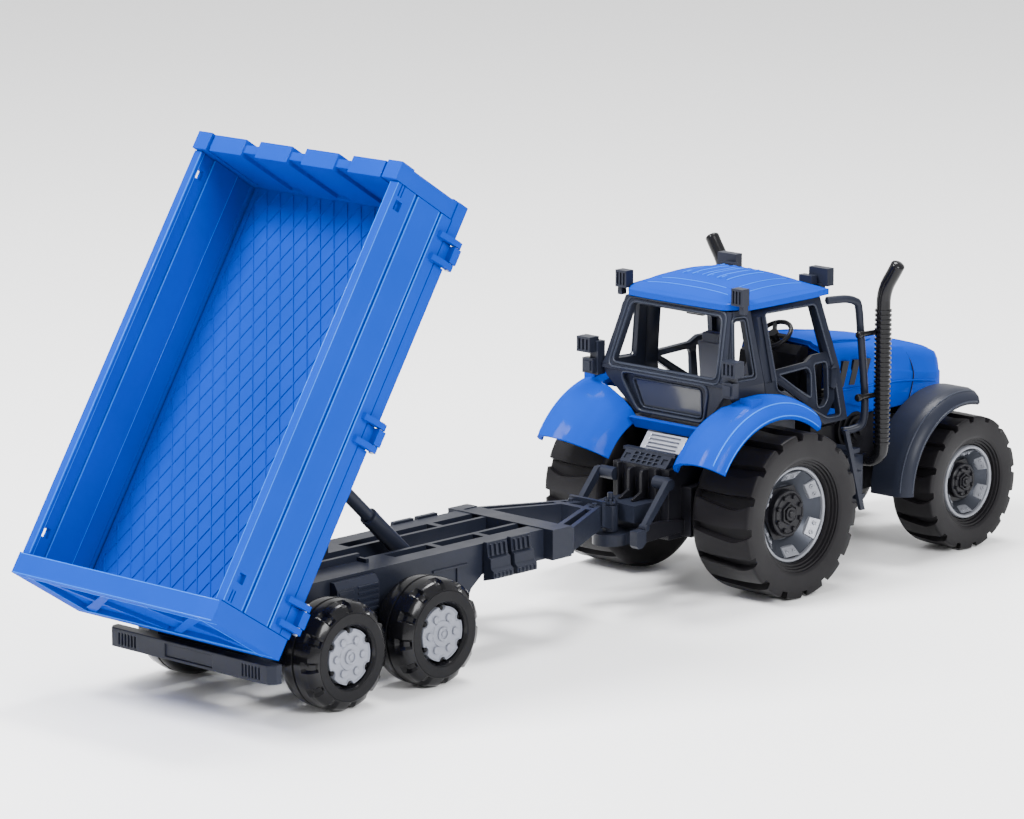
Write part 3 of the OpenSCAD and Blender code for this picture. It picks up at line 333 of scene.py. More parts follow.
def rounded_loop(corners, r, step=4.0):
    """A closed outline in two coordinates with rounded corners, as closely spaced points."""
    corners = [Vector(c) for c in corners]
    out = []
    for i, c in enumerate(corners):
        before, after = corners[i - 1], corners[(i + 1) % len(corners)]
        start = c + (before - c).normalized() * min(r, (before - c).length * 0.45)
        end = c + (after - c).normalized() * min(r, (after - c).length * 0.45)
        if out:
            out += between(out[-1], start, step)
        out += [(1 - t) ** 2 * start + 2 * t * (1 - t) * c + t * t * end
                for t in (0, 0.25, 0.5, 0.75, 1)]
    return out + between(out[-1], out[0], step)


# ---- CAD nodes that stay ----

slots = {s["node"]: s["material_slot"] for s in frame["record"]["subparts"]}
EDGE = 0.35
edge_width = {
    "tailgate": 0.9, "bed_front_wall": 0.9, "side_board_left": 0.5, "side_board_right": 0.5,
    "bed_floor": 0.5, "seat": 1.4, "dashboard": 1.0, "cab_floor": 1.0, "cab_frame": 0.7,
    "cab_doors": 0.6, "roof_lamps": 0.4, "trailer_chassis": 0.5, "drawbar": 0.5, "bumper": 0.5,
    "hitch_coupler": 0.4, "rear_fenders": 0.3, "front_fenders": 0.3, "strut_rod": 0.3,
    "strut_barrel": 0.3,
}
for name, obj in frame["nodes"].items():
    obj.data.materials.clear()
    obj.data.materials.append(mats[slots[name]])
    obj.data.shade_smooth()
    if mats[slots[name]] is not mats["steel"]:
        soften(obj, edge_width.get(name, EDGE), weld=WELD_GAP)


# ---- Tractor wheels ----

LUGS = 16
COLUMNS = 9
WALL = 0.6
LUG_CURVE = 1.2
GROOVE_DEPTH = 0.085
# A fraction of the tyre's width, and the share of a pitch that the groove takes there.
GROOVE_SHAPE = ((0.0, 0.27), (0.12, 0.29), (0.45, 0.38), (0.72, 0.47), (0.84, 0.43), (1.0, 0.30))
BEAD = {"rear": 0.578, "front": 0.545}


def groove_width(f):
    """The groove's share of a pitch, at a fraction of the tyre's width from the inner side."""
    for (f0, g0), (f1, g1) in zip(GROOVE_SHAPE, GROOVE_SHAPE[1:]):
        if f <= f1:
            return g0 + (g1 - g0) * (f - f0) / (f1 - f0)
    return GROOVE_SHAPE[-1][1]


def tractor_tyre(end, side_name):
    """A tyre with slanted, curved grooves that run over the shoulder of its outer side."""
    side = 1 if side_name == "left" else -1
    node = f"{end}_tyre_{side_name}"
    r = radius_of(node)
    w_in, w_out = faces_of(node)
    bead = r * BEAD[end]
    depth = GROOVE_DEPTH * r
    # The section, as (radius, distance from the middle plane): inner wall, tread, outer wall with
    # three steps down to the rim.
    profile = [(bead, w_in + 3), (bead + 3, w_in), (r - 5, w_in), (r - 2.6, w_in + 0.7),
               (r - 1.1, w_in + 1.9), (r - 0.5, w_in + 3.3), (r - 0.4, w_in + 4.0)]
    steps = 12
    flat_from, flat_to = w_in + 6.5, w_out - 5.5
    profile += [(r - 0.2 * abs(2 * k / steps - 1) ** 4,
                 flat_from + (flat_to - flat_from) * k / steps) for k in range(steps + 1)]
    profile += [(r - 0.2, w_out - 2.4), (r - 0.25, w_out - 1.3), (r - 0.4, w_out - 0.6),
                (r - 0.75, w_out - 0.15), (r - 1.2, w_out), (r - depth - 1, w_out),
                (bead + 6.4, w_out), (bead + 5.4, w_out - 0.25)]
    step_r, step_w = bead + 4.4, w_out - 0.7
    for _ in range(3):
        profile += [(step_r, step_w), (step_r - 0.15, step_w - 0.75), (step_r - 1.1, step_w - 0.85)]
        step_r, step_w = step_r - 1.25, step_w - 1.35
    profile += [(bead + 0.3, w_out - 5.2), (bead, w_out - 6)]

    pitch = 2 * math.pi * r / LUGS
    rows = []
    for lug in range(LUGS):
        for column in range(COLUMNS):
            row = []
            for pr, pw in profile:
                f = (pw - w_in) / (w_out - w_in)
                groove = groove_width(f) * pitch
                lug_top = pitch - groove
                place, cut_away = (
                    (0, False), (WALL, True), (groove * 0.35, True), (groove * 0.65, True),
                    (groove - WALL, True), (groove, False), (groove + lug_top * 0.3, False),
                    (groove + lug_top * 0.6, False), (groove + lug_top * 0.85, False))[column]
                if cut_away and pw >= w_in + 3.4:
                    pr = min(pr, r - depth)
                turn = -side * (lug * pitch + place + LUG_CURVE * math.sin(math.pi * f)) / r
                row.append((pr * math.cos(turn), pr * math.sin(turn), pw))
            rows.append(row)
    tyre = Shape().grid(rows, closed_u=True, closed_v=True, matrix=wheel_frame(node, side))
    body = f"{end}_wheel_{side_name}"
    tyre.piece(f"{end}_{side_name}_tyre", body, "black_tyre", stands_for=[node], sharp=40)


RIM_DEPTH = 8.4
DISH_EDGE = 1.6
CAP_HEIGHT = 3.2


def tractor_rim(end, side_name):
    """The lip, the dark dish, its six silver pads and the black hub with its bolts."""
    side = 1 if side_name == "left" else -1
    node = f"{end}_rim_{side_name}"
    hub_node = f"{end}_hub_{side_name}"
    body = f"{end}_wheel_{side_name}"
    place = wheel_frame(node, side)
    r = radius_of(node)
    face = faces_of(node)[1]
    floor = face - RIM_DEPTH
    hub_r = radius_of(hub_node)
    hub_face = faces_of(hub_node)[1] - CAP_HEIGHT
    slope_from = r - 2.8
    slope_to = hub_r + 2.2
    slope = (RIM_DEPTH - DISH_EDGE) / (slope_from - slope_to)

    def cone_at(rr):
        return face - DISH_EDGE - slope * (slope_from - rr)

    lip = Shape().lathe([
        (r, face - 4.5), (r, face - 0.9), (r - 0.35, face - 0.25), (r - 0.8, face),
        (r - 1.4, face), (r - 1.8, face - 0.3), (r - 2.0, face - 1.0), (r - 2.1, face - 1.8),
        (r - 2.1, face - 4.5)
    ], 128, matrix=place)
    lip.piece(f"{end}_{side_name}_lip", body, "silver_plastic", rim_silver, sharp=50)

    dish = Shape().lathe([
        (r - 2.2, face - 1.9), (slope_from, face - DISH_EDGE), (slope_to, floor),
        (hub_r - 2, floor - 0.4), (hub_r - 2, floor - 4), (r - 2.2, floor - 4)
    ], 128, matrix=place)
    dish.piece(f"{end}_{side_name}_dish", body, "silver_plastic", dark_metal, stands_for=[node],
               sharp=30)

    pads = Shape()
    pad_out = slope_from - 0.4
    pad_in = 0.68 * r
    pad_top = 1.7
    wide, narrow = 0.235 * r, 0.20 * r
    outline = [(pad_in, -narrow), (pad_out, -wide), (pad_out, wide), (pad_in, narrow)]
    verts = [(x, y, cone_at(x) - 0.5) for x, y in outline]
    verts += [(x + (0.5 if x == pad_in else -0.2), y * 0.9, cone_at(x) + pad_top)
              for x, y in outline]
    mid = (pad_in + pad_out) / 2 + 0.2
    lie = Matrix.Rotation(math.atan(slope), 4, (0, -1, 0))
    for k in range(6):
        turn = place @ Matrix.Rotation(math.radians(60 * k + 30), 4, "Z")
        pads.add(verts, SLAB, turn)
        for s in (-1, 1):
            spot = turn @ Matrix.Translation((mid, s * 0.1 * r, cone_at(mid) + pad_top)) @ lie
            pads.lathe([(0.42, 0), (0.42, -0.25), (0.55, -0.3), (0.045 * r, -0.3),
                        (0.045 * r, 0.35), (0.035 * r, 0.5), (0.5, 0.5)], 20, matrix=spot)
    pads.piece(f"{end}_{side_name}_pads", body, "silver_plastic", rim_silver, bevel=0.25)

    hub = Shape()
    hub.lathe([
        (0.01, floor - 1), (hub_r, floor - 1), (hub_r, hub_face - 0.5), (hub_r - 0.5, hub_face),
        (hub_r - 1.4, hub_face), (hub_r - 1.8, hub_face - 0.5), (hub_r - 2.4, hub_face - 0.5),
        (hub_r - 2.8, hub_face + 0.1), (0.01, hub_face + 0.1)
    ], 96, closed=False, matrix=place)
    star = []
    for k in range(12):
        reach = hub_r + (3.4 if k % 2 else 1.2)
        a = math.radians(30 * k + 30)
        star.append((reach * math.cos(a), reach * math.sin(a)))
    hub.prism(star, floor - 1, floor + 1.1, place)
    for spot in ring_places(place, 8, 0.74 * hub_r, hub_face, 22.5):
        hub.lathe([(0.01, 1.5), (0.062 * hub_r, 1.5), (0.1 * hub_r, 1.2), (0.11 * hub_r, 0),
                   (0.01, 0)], 16, closed=False, matrix=spot)
    for outer, inner, rise, sides in ((0.50, 0.40, 1.3, 6), (0.30, 0.0, 2.0, 48)):
        r_out, r_in, top = outer * hub_r, inner * hub_r, hub_face + rise
        hub.lathe([
            (r_out, hub_face), (r_out, top - 0.2), (r_out - 0.25, top), (r_in + 0.26, top),
            (r_in + 0.01, top - 0.25), (r_in + 0.01, hub_face)
        ], sides, matrix=place @ Matrix.Rotation(math.radians(30), 4, "Z"))
    hub.lathe([(0.01, hub_face + 2.9), (0.13 * hub_r, hub_face + 2.9),
               (0.17 * hub_r, hub_face + 2.5), (0.17 * hub_r, hub_face)], 32, closed=False,
              matrix=place)
    hub.piece(f"{end}_{side_name}_hub", body, "black_plastic", stands_for=[hub_node], sharp=28)


for end in ("rear", "front"):
    for side_name in ("left", "right"):
        tractor_tyre(end, side_name)
        tractor_rim(end, side_name)


# ---- Trailer wheels ----

TREAD_ZONES = 12
PER_ZONE = 10
TREAD_DIP = 1.5
NOTCHES = 6
NOTCH_R, NOTCH_DEPTH = 2.3, 2.1


def trailer_wheel(end, side_name):
    """The glossy tyre, its dull band, the disc with six bosses, and the bolts in its notches."""
    side = 1 if side_name == "left" else -1
    node = f"trailer_tyre_{end}_{side_name}"
    disc_node = f"trailer_disc_{end}_{side_name}"
    body = f"trailer_wheel_{end}_{side_name}"
    place = wheel_frame(node, side)
    r = radius_of(node)
    w_in, w_out = faces_of(node)
    disc_r = radius_of(disc_node)
    face = faces_of(disc_node)[1] - 1.2
    hollow = w_out - 9.5
    profile = [(4, w_in + 2), (15, w_in + 2), (16, w_in), (21.8, w_in), (24.6, w_in + 1.4),
               (26.3, w_in + 3.8), (r - 0.4, w_in + 6.2), (r, w_in + 8.8), (r, w_in + 12.2),
               (r - 0.7, w_in + 12.5), (r - 0.7, w_in + 13.5), (r, w_in + 13.8), (r, w_in + 18.6),
               (r - 0.35, w_in + 20.6), (r - 0.6, w_in + 21.4), (r - 0.6, w_in + 22.3),
               (r - 1.7, w_in + 24), (24.2, w_out - 1.4), (22.6, w_out - 0.4), (21.9, w_out - 0.1)]
    rows = []
    turns = TREAD_ZONES * PER_ZONE
    for k in range(turns):
        a = 2 * math.pi * k / turns
        sunk = k % PER_ZONE in (0, 1, 2)
        row = []
        for pr, pw in profile:
            tread_side = w_in + 19 < pw < w_out - 0.6 and pr > 23.5
            dip = TREAD_DIP if tread_side and sunk else 0.0
            row.append(((pr - dip) * math.cos(a), (pr - dip) * math.sin(a), pw - dip * 0.4))
        rows.append(row)
    tyre = Shape().grid(rows, closed_v=True, matrix=place)
    tyre.lathe([(16.5, w_out - 0.4), (15.6, w_out - 1.6), (15.0, w_out - 3),
                (disc_r + 0.35, hollow + 3), (disc_r + 0.3, hollow), (4, hollow), (4, w_in + 2)],
               turns, closed=False, matrix=place)
    tyre.piece(f"trailer_{end}_{side_name}_tyre", body, "black_tyre", gloss_black,
               stands_for=[node], sharp=38)
    band = Shape().lathe([(22.0, w_out - 0.9), (21.7, w_out), (16.9, w_out), (16.4, w_out - 0.5),
                          (16.4, w_out - 1.4), (22.0, w_out - 1.4)], turns, matrix=place)
    band.piece(f"trailer_{end}_{side_name}_band", body, "black_tyre", band_black, sharp=40)

    disc = Shape()
    rows = []
    steps = 24
    for k in range(NOTCHES * steps):
        a = 2 * math.pi * k / (NOTCHES * steps)
        off = abs((k % steps) - steps / 2) / (steps / 2)
        away = off * math.pi / NOTCHES * disc_r / NOTCH_R
        rim = disc_r - NOTCH_DEPTH * math.sqrt(max(0.0, 1 - away ** 2))
        rows.append([(rr * math.cos(a), rr * math.sin(a), ww) for rr, ww in (
            (0.02, face), (6.4, face), (6.8, face - 0.45), (7.2, face - 0.45),
            (rim - 1.0, face - 0.45), (rim - 0.7, face), (rim - 0.25, face), (rim, face - 0.3),
            (rim, face - 5))])
    disc.grid(rows, closed_v=True, matrix=place)
    for spot in ring_places(place, 6, 8.9, face - 0.5):
        disc.lathe([(0.01, 1.4), (1.5, 1.4), (1.95, 1.1), (2.1, 0), (0.01, 0)], 24, closed=False,
                   matrix=spot)
    disc.lathe([(0.01, 0.9), (1.2, 0.9), (1.4, 0.4), (2.4, 0.4), (2.6, 1.1), (3.3, 1.1),
                (3.6, 0.8), (3.7, -0.1)], 48, closed=False,
               matrix=place @ Matrix.Translation((0, 0, face)))
    disc.piece(f"trailer_{end}_{side_name}_disc", body, "silver_plastic", pale_disc,
               stands_for=[disc_node], sharp=35)
    bolts = Shape()
    for spot in ring_places(place, NOTCHES, 12.9, face - 2.6, 30):
        bolts.lathe([(0.01, 1.9), (0.8, 1.9), (1.2, 1.5), (1.3, 0), (0.01, 0)], 16, closed=False,
                    matrix=spot)
    bolts.piece(f"trailer_{end}_{side_name}_bolts", body, "black_tyre", band_black)


for end in ("front", "rear"):
    for side_name in ("left", "right"):
        trailer_wheel(end, side_name)


# ---- Hood ----

HOOD = [
    # x, half width, low edge, crease, shoulder, top
    (66, 32.6, 92.4, 108, 117.4, 124.0),
    (84, 32.8, 88, 106.6, 116.6, 122.6),
    (102, 32.8, 82, 104.4, 115.2, 120.4),
    (120, 32.5, 80.8, 101.6, 113.4, 118.0),
    (138, 31.4, 80.8, 98.4, 110.6, 114.8),
    (154, 29.4, 80.8, 95.6, 107.2, 111.0),
    (166, 26.2, 80.8, 93.6, 103.6, 107.4),
    (174, 21.6, 80.8, 92.2, 100.6, 104.6),
    (179, 15.0, 80.8, 91.4, 98.0, 102.0),
    (181, 7.0, 80.8, 91.0, 96.6, 100.4),
]


def hood_half(x, w, low, crease, shoulder, top):
    """Half a cross-section, from the low edge on the left side up to the middle."""
    crown = top - shoulder
    return [
        (x, w - 0.6, low), (x, w, low + 1), (x, w, crease - 0.5), (x, w - 0.15, crease),
        (x, w - 0.9, crease + 0.9), (x, w - 1.3, shoulder - 4.6), (x, w - 1.9, shoulder - 1.7),
        (x, w - 3.4, shoulder + 0.25 * crown), (x, w * 0.82, shoulder + 0.48 * crown),
        (x, w * 0.62, shoulder + 0.74 * crown), (x, w * 0.58, shoulder + 0.9 * crown),
        (x, w * 0.3, shoulder + 0.97 * crown), (x, 0, top)
    ]


# Points of the inner skin below SKIRT_Z come down to the low edge; the others hang under the outer.
HOOD_LOW, SKIRT_Z = 80.8, 93
SKIN_DROP = 2.2
STATION_STEPS = 4
CREASE_LINE = ((70, 33.2, 97.4), (88, 33.2, 96.4), (104, 33.1, 96.0), (122, 32.8, 95.2),
               (138, 31.7, 93.4), (154, 29.7, 90.8), (163, 27.4, 89.2))
NOSE_SEAM = ((134, 31.7, 82), (137, 31.8, 90), (138.6, 31.6, 97), (137.4, 30.2, 104),
             (134, 29.4, 109.4))
TOP_PANEL = ((70, 21.4, 122.6), (90, 21.2, 121.2), (108, 20.6, 118.8), (116, 18.6, 117.9))


def hood():
    """The hood's outer and inner skins, its rear edge and its nose."""
    rows = []
    for station in smooth_path([(k, 0, 0) for k in range(len(HOOD))], STATION_STEPS):
        k = min(int(station.x), len(HOOD) - 2)
        t = station.x - k
        left = hood_half(*[a + (b - a) * t for a, b in zip(HOOD[k], HOOD[k + 1])])
        rows.append(left + mirrored(reversed(left[:-1]), -1))
    inside = [[(x - 0.8, y * 0.93, min(z, HOOD_LOW) if z < SKIRT_Z else z - SKIN_DROP)
               for x, y, z in row] for row in rows]
    skin = Shape().grid(rows, matrix=TRACTOR)
    skin.grid([list(reversed(row)) for row in inside], matrix=TRACTOR)
    skin.grid([rows[0], [(HOOD[0][0], y, z) for _, y, z in inside[0]]], matrix=TRACTOR)
    nose = rows[-1]
    skin.add(nose, [tuple(range(len(nose)))], TRACTOR)
    skin.piece("hood_skin", "tractor", "blue_plastic", stands_for=["hood"], sharp=38)


def hood_details():
    """Three slanted vents a side, and the raised and sunk lines of the panels."""
    vents = Shape()
    lines = Shape()
    for side in (1, -1):
        for k in range(3):
            x0 = 72.4 + 9.2 * k
            drop = 0.5 * k
            quad = [(x0, 33.15, 99.0), (x0 + 4.6, 33.15, 98.4), (x0 + 9.6, 33.0, 112.2 - drop),
                    (x0 + 4.4, 33.0, 112.8 - drop)]
            back = [(x, 31.2, z) for x, _, z in quad]
            vents.add(mirrored(back + quad, side), SLAB, TRACTOR)
        lines.tube(smooth_path(mirrored(CREASE_LINE, side)), 0.62, 12, TRACTOR)
        vents.tube(smooth_path(mirrored(NOSE_SEAM, side)), 0.4, 10, TRACTOR)
        lines.tube(smooth_path(mirrored(TOP_PANEL, side)), 0.5, 10, TRACTOR)
    vents.piece("hood_vents", "tractor", "black_plastic", bevel=0.3)
    lines.piece("hood_lines", "tractor", "blue_plastic")


hood()
hood_details()


# ---- Roof ----

# Half length and half width of each raised step, as fractions of the roof's, and its height.
TERRACES = ((0.94, 0.94, 0.0003), (0.74, 0.76, 0.0004), (0.6, 0.62, 0.0004), (0.42, 0.40, 0.0006))
STEP_RUN = 0.006
SLOTS = [0.04 + 0.08 * k for k in range(5)]
SLOT_HALF, SLOT_DEPTH = 0.035, 0.0009


def roof():
    """A domed slab with a thick eave, terraces and a slotted vent, in metres.

    It is a height field over its outline: u runs along the roof and v across, from -1 to 1.
    """
    low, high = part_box("roof")
    mid_x = (low.x + high.x) / 2
    half_x = (high.x - low.x) / 2
    half_y = (high.y - low.y) / 2
    eave = low.z
    crown = high.z - 0.0010
    lip = 0.0031

    def steps_at(*edges):
        marks = [k / 16 for k in range(17)]
        for e in edges:
            marks += [e - STEP_RUN, e + STEP_RUN]
        return sorted(set([-m for m in marks] + marks))

    us = steps_at(*[t[0] for t in TERRACES])
    vs = steps_at(*[t[1] for t in TERRACES], *SLOTS)

    def surface(u, v):
        rise = (1 - abs(u) ** 2.2) * (1 - abs(v) ** 2.4)
        z = eave + lip + (crown - eave - lip) * rise ** 0.85
        a, b = abs(u), abs(v)
        for half_u, half_v, height in TERRACES:
            if a < half_u and b < half_v:
                z += height
        vent_u, vent_v, _ = TERRACES[-1]
        if a < vent_u and b < vent_v and any(abs(b - e) < SLOT_HALF for e in SLOTS[::2]):
            z -= SLOT_DEPTH
        return min(z, high.z)

    def outline(u, v):
        bow = 1 - 0.045 * abs(v) ** 2.5
        pinch = 1 - 0.03 * abs(u) ** 3
        x, y = mid_x + half_x * u * bow, half_y * v * pinch
        corner = max(0.0, abs(u) - 0.76) * max(0.0, abs(v) - 0.80)
        if u < 0:
            x += corner * half_x * 3.4
            y -= math.copysign(corner * half_y * 1.6, v)
        return x, y

    def on_top(u, v):
        return (*outline(u, v), surface(u, v))

    shape = Shape()
    shape.grid([[on_top(u, v) for u in us] for v in vs])
    shape.grid([[(*outline(u, v), eave) for u in reversed(us)] for v in vs])
    edge = [(u, -1) for u in us] + [(1, v) for v in vs[1:]] + [(u, 1) for u in reversed(us[:-1])]
    edge += [(-1, v) for v in reversed(vs[1:-1])]
    bottom = [(*outline(u, v), eave) for u, v in edge]
    top = [on_top(u, v) for u, v in edge]
    shape.grid([bottom, top], closed_u=True)
    piece = shape.piece("roof_shell", "tractor", "blue_plastic", stands_for=["roof"], sharp=30)
    soften(piece, EDGE, weld=2 * WELD_GAP)

    # Beads in a lighter blue along the terrace edges and the vent's slots: painted highlight lines.
    beads = Shape()
    reach = [k / 12 for k in range(-12, 13)]
    for mark, along in ((0.745, 0.66), (0.605, 0.52)):
        for way in (-1, 1):
            beads.tube([on_top(way * mark, v * along) for v in reach], 0.00028, 8)
            beads.tube([on_top(u * along, way * (mark + 0.015)) for u in reach], 0.00028, 8)
    for k in range(10):
        v = -0.36 + 0.08 * k
        slot = [on_top(u * 0.38, v) for u in reach]
        beads.tube([(x, y, min(z, high.z - 0.0005)) for x, y, z in slot], 0.00042, 8)
    beads.piece("roof_beads", "tractor", "blue_plastic", highlight_blue, sharp=60)


roof()


# ---- Stacks ----

STACK_X, STACK_Y, STACK_R = 81, 57, 3.9
STACK_TOP, STACK_BEND = 147, 24
RIB_FROM, RIB_PITCH, RIBS = 70.65, 2.6, 29
RIB = [(STACK_R - 0.5, -0.8), (STACK_R + 0.75, -0.55), (STACK_R + 0.75, 0.55), (STACK_R - 0.5, 0.8)]


def stack_pipes():
    """Two ribbed pipes that lean outwards at the top, each on two brackets."""
    route = [(28, 60), (44, 60), (50.6, 60.6), (55.2, 63.6), (STACK_Y, 69), (STACK_Y, 90),
             (STACK_Y, 120), (STACK_Y, 146)]
    for bend in (8, 16, 24, 32):
        a = math.radians(bend)
        route.append((STACK_Y + STACK_BEND * (1 - math.cos(a)),
                      STACK_TOP + STACK_BEND * math.sin(a)))
    route += [(64.2, 165.2), (66.6, 169.2)]
    stacks = Shape()
    for side in (1, -1):
        pipe = [(STACK_X, side * y, z) for y, z in route]
        stacks.tube(smooth_path(pipe), STACK_R, 28, TRACTOR)
        for k in range(RIBS):
            spot = Matrix.Translation((STACK_X, side * STACK_Y, RIB_FROM + RIB_PITCH * k))
            stacks.lathe(RIB, 28, matrix=TRACTOR @ spot)
        for z in (97, 131.5):
            arm = mirrored([(64.8, 53.2, z), (70, 53.2, z), (STACK_X - 1, 54.4, z)], side)
            boss = mirrored([(64.8, 53.2, z), (66.8, 53.2, z)], side)
            stacks.tube(arm, 1.5, 16, TRACTOR)
            stacks.tube(boss, 2.1, 16, TRACTOR)
    stacks.piece("stack_pipes", "tractor", "black_plastic", gloss_black,
                 stands_for=["exhaust_stacks"], sharp=40)


stack_pipes()


# ---- Mouldings on the cab ----

# The cab's back: its waist and the top of its window, in X and Z, and how the panel below tucks in.
WAIST_X, WAIST_Z = -33, 116
TOP_X, TOP_Z = -21, 154
TUCK = math.radians(15)
# The cab's sides lean in above the height of their bend.
SIDE_Y, BEND_Z = 44.3, 114
SIDE_LEAN = math.radians(9)

# Beads round the side windows: (x, z) corners, the bead's radius, the corners' radius, and Y.
SIDE_BEADS = [
    ([(-27, 117.4), (-21.6, 151), (-10.4, 150.6), (-7.6, 117)], 0.55, 3, 44.5),
    ([(-24.9, 119.3), (-20.6, 149.2), (-12.1, 148.8), (-9.7, 118.8)], 0.5, 2, 44.4),
    ([(4, 150.4), (45.4, 150), (61.6, 86.8), (50.8, 86.8), (8, 108.4)], 0.55, 3, 44.4),
    ([(39.2, 118.3), (50.1, 118.3), (51.2, 97.8), (48, 93.6), (42.2, 93.6)], 0.5, 2.4, 43.9),
    ([(10.2, 116.4), (34.6, 117.2), (36.8, 113.2), (37.4, 99.8), (30.9, 103)], 0.5, 2.4, 43.9),
]


def on_tuck(y, u, depth=0.1):
    """A point on the panel below the rear window, u down from the waist and depth out of it."""
    return (WAIST_X + 0.3 - depth * math.cos(TUCK) + u * math.sin(TUCK), y,
            WAIST_Z - depth * math.sin(TUCK) - u * math.cos(TUCK))


def on_side(x, z, side, out):
    """A point on the cab's side, at the height z measured along it."""
    y = out
    if z > BEND_Z:
        rise, off = z - BEND_Z, out - SIDE_Y
        y = SIDE_Y + off * math.cos(SIDE_LEAN) - rise * math.sin(SIDE_LEAN)
        z = BEND_Z + off * math.sin(SIDE_LEAN) + rise * math.cos(SIDE_LEAN)
    return (x, side * y, z)


def cab_trim():
    """Beads round the cab's windows in a lighter slate, a painted highlight, and the smoky pane in the panel below
    the rear one.
    """
    lean = math.atan2(TOP_X - WAIST_X, TOP_Z - WAIST_Z)
    up = (TOP_Z - WAIST_Z) / math.cos(lean)
    trim = Shape()

    def on_rear(y, u):
        return (WAIST_X - 0.1 + u * math.sin(lean), y, WAIST_Z + u * math.cos(lean))

    for spread, r in ((0.9, 0.55), (3.2, 0.6)):
        low_y, low_u = 36.6 + spread, 3.6 - spread
        high_y, high_u = 31.6 + spread, up - 4 + spread
        corners = [(-low_y, low_u), (low_y, low_u), (high_y, high_u), (-high_y, high_u)]
        path = [on_rear(y, u) for y, u in rounded_loop(corners, 4)]
        trim.loop(path, r, (-1, 0, 0.3), matrix=TRACTOR)
    panel = [(-29.6, 1.2), (29.6, 1.2), (30.6, 6), (23.6, 23.8), (-23.6, 23.8), (-30.6, 6)]
    inset = [(-24.6, 5), (24.6, 5), (21.4, 22.2), (-21.4, 22.2)]
    for corners, turn, depth, r in ((panel, 4, 0.1, 0.85), (inset, 3, -1.6, 0.5)):
        path = [on_tuck(y, u, depth) for y, u in rounded_loop(corners, turn)]
        trim.loop(path, r, (-1, 0, -0.3), matrix=TRACTOR)
    for side in (1, -1):
        for corners, r, turn, out in SIDE_BEADS:
            path = [on_side(x, z, side, out) for x, z in rounded_loop(corners, turn)]
            trim.loop(path, r, (0, side, 0), matrix=TRACTOR)
    trim.piece("cab_trim", "tractor", "slate_plastic", highlight_slate, sharp=60)

    corners = [(-23.4, 6.2), (23.4, 6.2), (20.4, 21.4), (-20.4, 21.4)]
    front = [on_tuck(y, u, -2.3) for y, u in corners]
    back = [on_tuck(y, u, -2.85) for y, u in corners]
    pane = Shape().add(front + back, SLAB, TRACTOR)
    pane.piece("cab_pane", "tractor", "grey_plastic", smoky)


cab_trim()


# ---- Rails in front of the doors ----

RAIL_R = 2.15
RAIL_ROUTE = ((51, 42.6, 150.9), (56, 44.6, 151.0), (62, 46.6, 150.8), (67.4, 48, 149.2),
              (70.2, 48.5, 146), (72.4, 48.6, 130), (75.2, 48.6, 108), (76.8, 48.4, 94),
              (76.8, 48, 84), (75, 47, 79.4), (70.6, 44.6, 77.6), (66, 42, 77))
rails = Shape()
for side in (1, -1):
    rails.tube(smooth_path(mirrored(RAIL_ROUTE, side)), RAIL_R, matrix=TRACTOR)
rails.piece("grab_rail_tubes", "tractor", "slate_plastic", stands_for=["grab_rails"], sharp=60)


# ---- Diamond mesh on the bed's floor ----

def floor_mesh():
    """Two sets of crossing ridges; s runs up along the floor from the hinge."""
    low_s, high_s, half_y = -8.0, 210.8, 61.8
    cell_s, cell_y = 17.6, 9.6
    slope = cell_s / cell_y
    floor_top, rise, width = 19.0, 0.45, 0.95
    along = Vector((slope, 1, 0)).normalized()
    across = Vector((-along.y, along.x, 0)) * width / 2
    shape = Shape()
    first = math.floor((low_s - slope * half_y) / cell_s)
    last = math.ceil((high_s + slope * half_y) / cell_s)
    for k in range(first, last + 1):
        start = k * cell_s
        y0 = max(-half_y, (low_s - start) / slope)
        y1 = min(half_y, (high_s - start) / slope)
        if y1 - y0 < 1:
            continue
        ends = [Vector((start + slope * y, y, 0)) for y in (y0, y1)]
        base = [ends[0] - across, ends[1] - across, ends[1] + across, ends[0] + across]
        middle = (ends[0], ends[1], ends[1], ends[0])
        # One set stands a little higher, so that no two faces share a plane where they cross.
        for side, lift in ((1, rise), (-1, rise + 0.02)):
            verts = [(p.x, p.y, floor_top - 0.3) for p in base]
            verts += [(c.x + (p.x - c.x) * 0.5, c.y + (p.y - c.y) * 0.5, floor_top + lift)
                      for p, c in zip(base, middle)]
            shape.add(mirrored(verts, side), RIDGE, BED)
    shape.piece("bed_floor_mesh", "bed", "blue_plastic", sharp=25)


floor_mesh()


# ---- Painted highlights on the edges of the bed's boards ----

def board_edges():
    """Thin beads in a lighter blue where the moulded bands of the boards end, a painted highlight."""
    from_s, to_s = -8.2, 211.0
    outside = [(71.35, h, 0.42) for h in (25.9, 28.1, 44.9, 47.5, 61.1)]
    inside = [(y, h, 0.38) for y, h in ((66.9, 61.3), (66.9, 59.2), (66.5, 50.8), (66.5, 33.2))]
    for side_name, side in (("left", 1), ("right", -1)):
        beads = Shape()
        for y, h, r in outside + inside:
            beads.tube([(from_s, side * y, h), (to_s, side * y, h)], r, 10, BED)
        beads.piece(f"board_beads_{side_name}", f"side_board_{side_name}", "blue_plastic",
                    highlight_blue, sharp=60)
    gate = Shape()
    for s, h in ((-19.6, 62.8), (-9.5, 62.8), (-19.7, 58.5), (-19.7, 16.3)):
        gate.tube([(s, -71.0, h), (s, 71.0, h)], 0.45, 10, BED)
    for side in (1, -1):
        for s, y in ((-19.6, 71.3), (-19.7, 61.2)):
            gate.tube([(s, side * y, 12.6), (s, side * y, 62.4)], 0.42, 10, BED)
    gate.piece("tailgate_beads", "tailgate", "blue_plastic", highlight_blue, sharp=60)


board_edges()
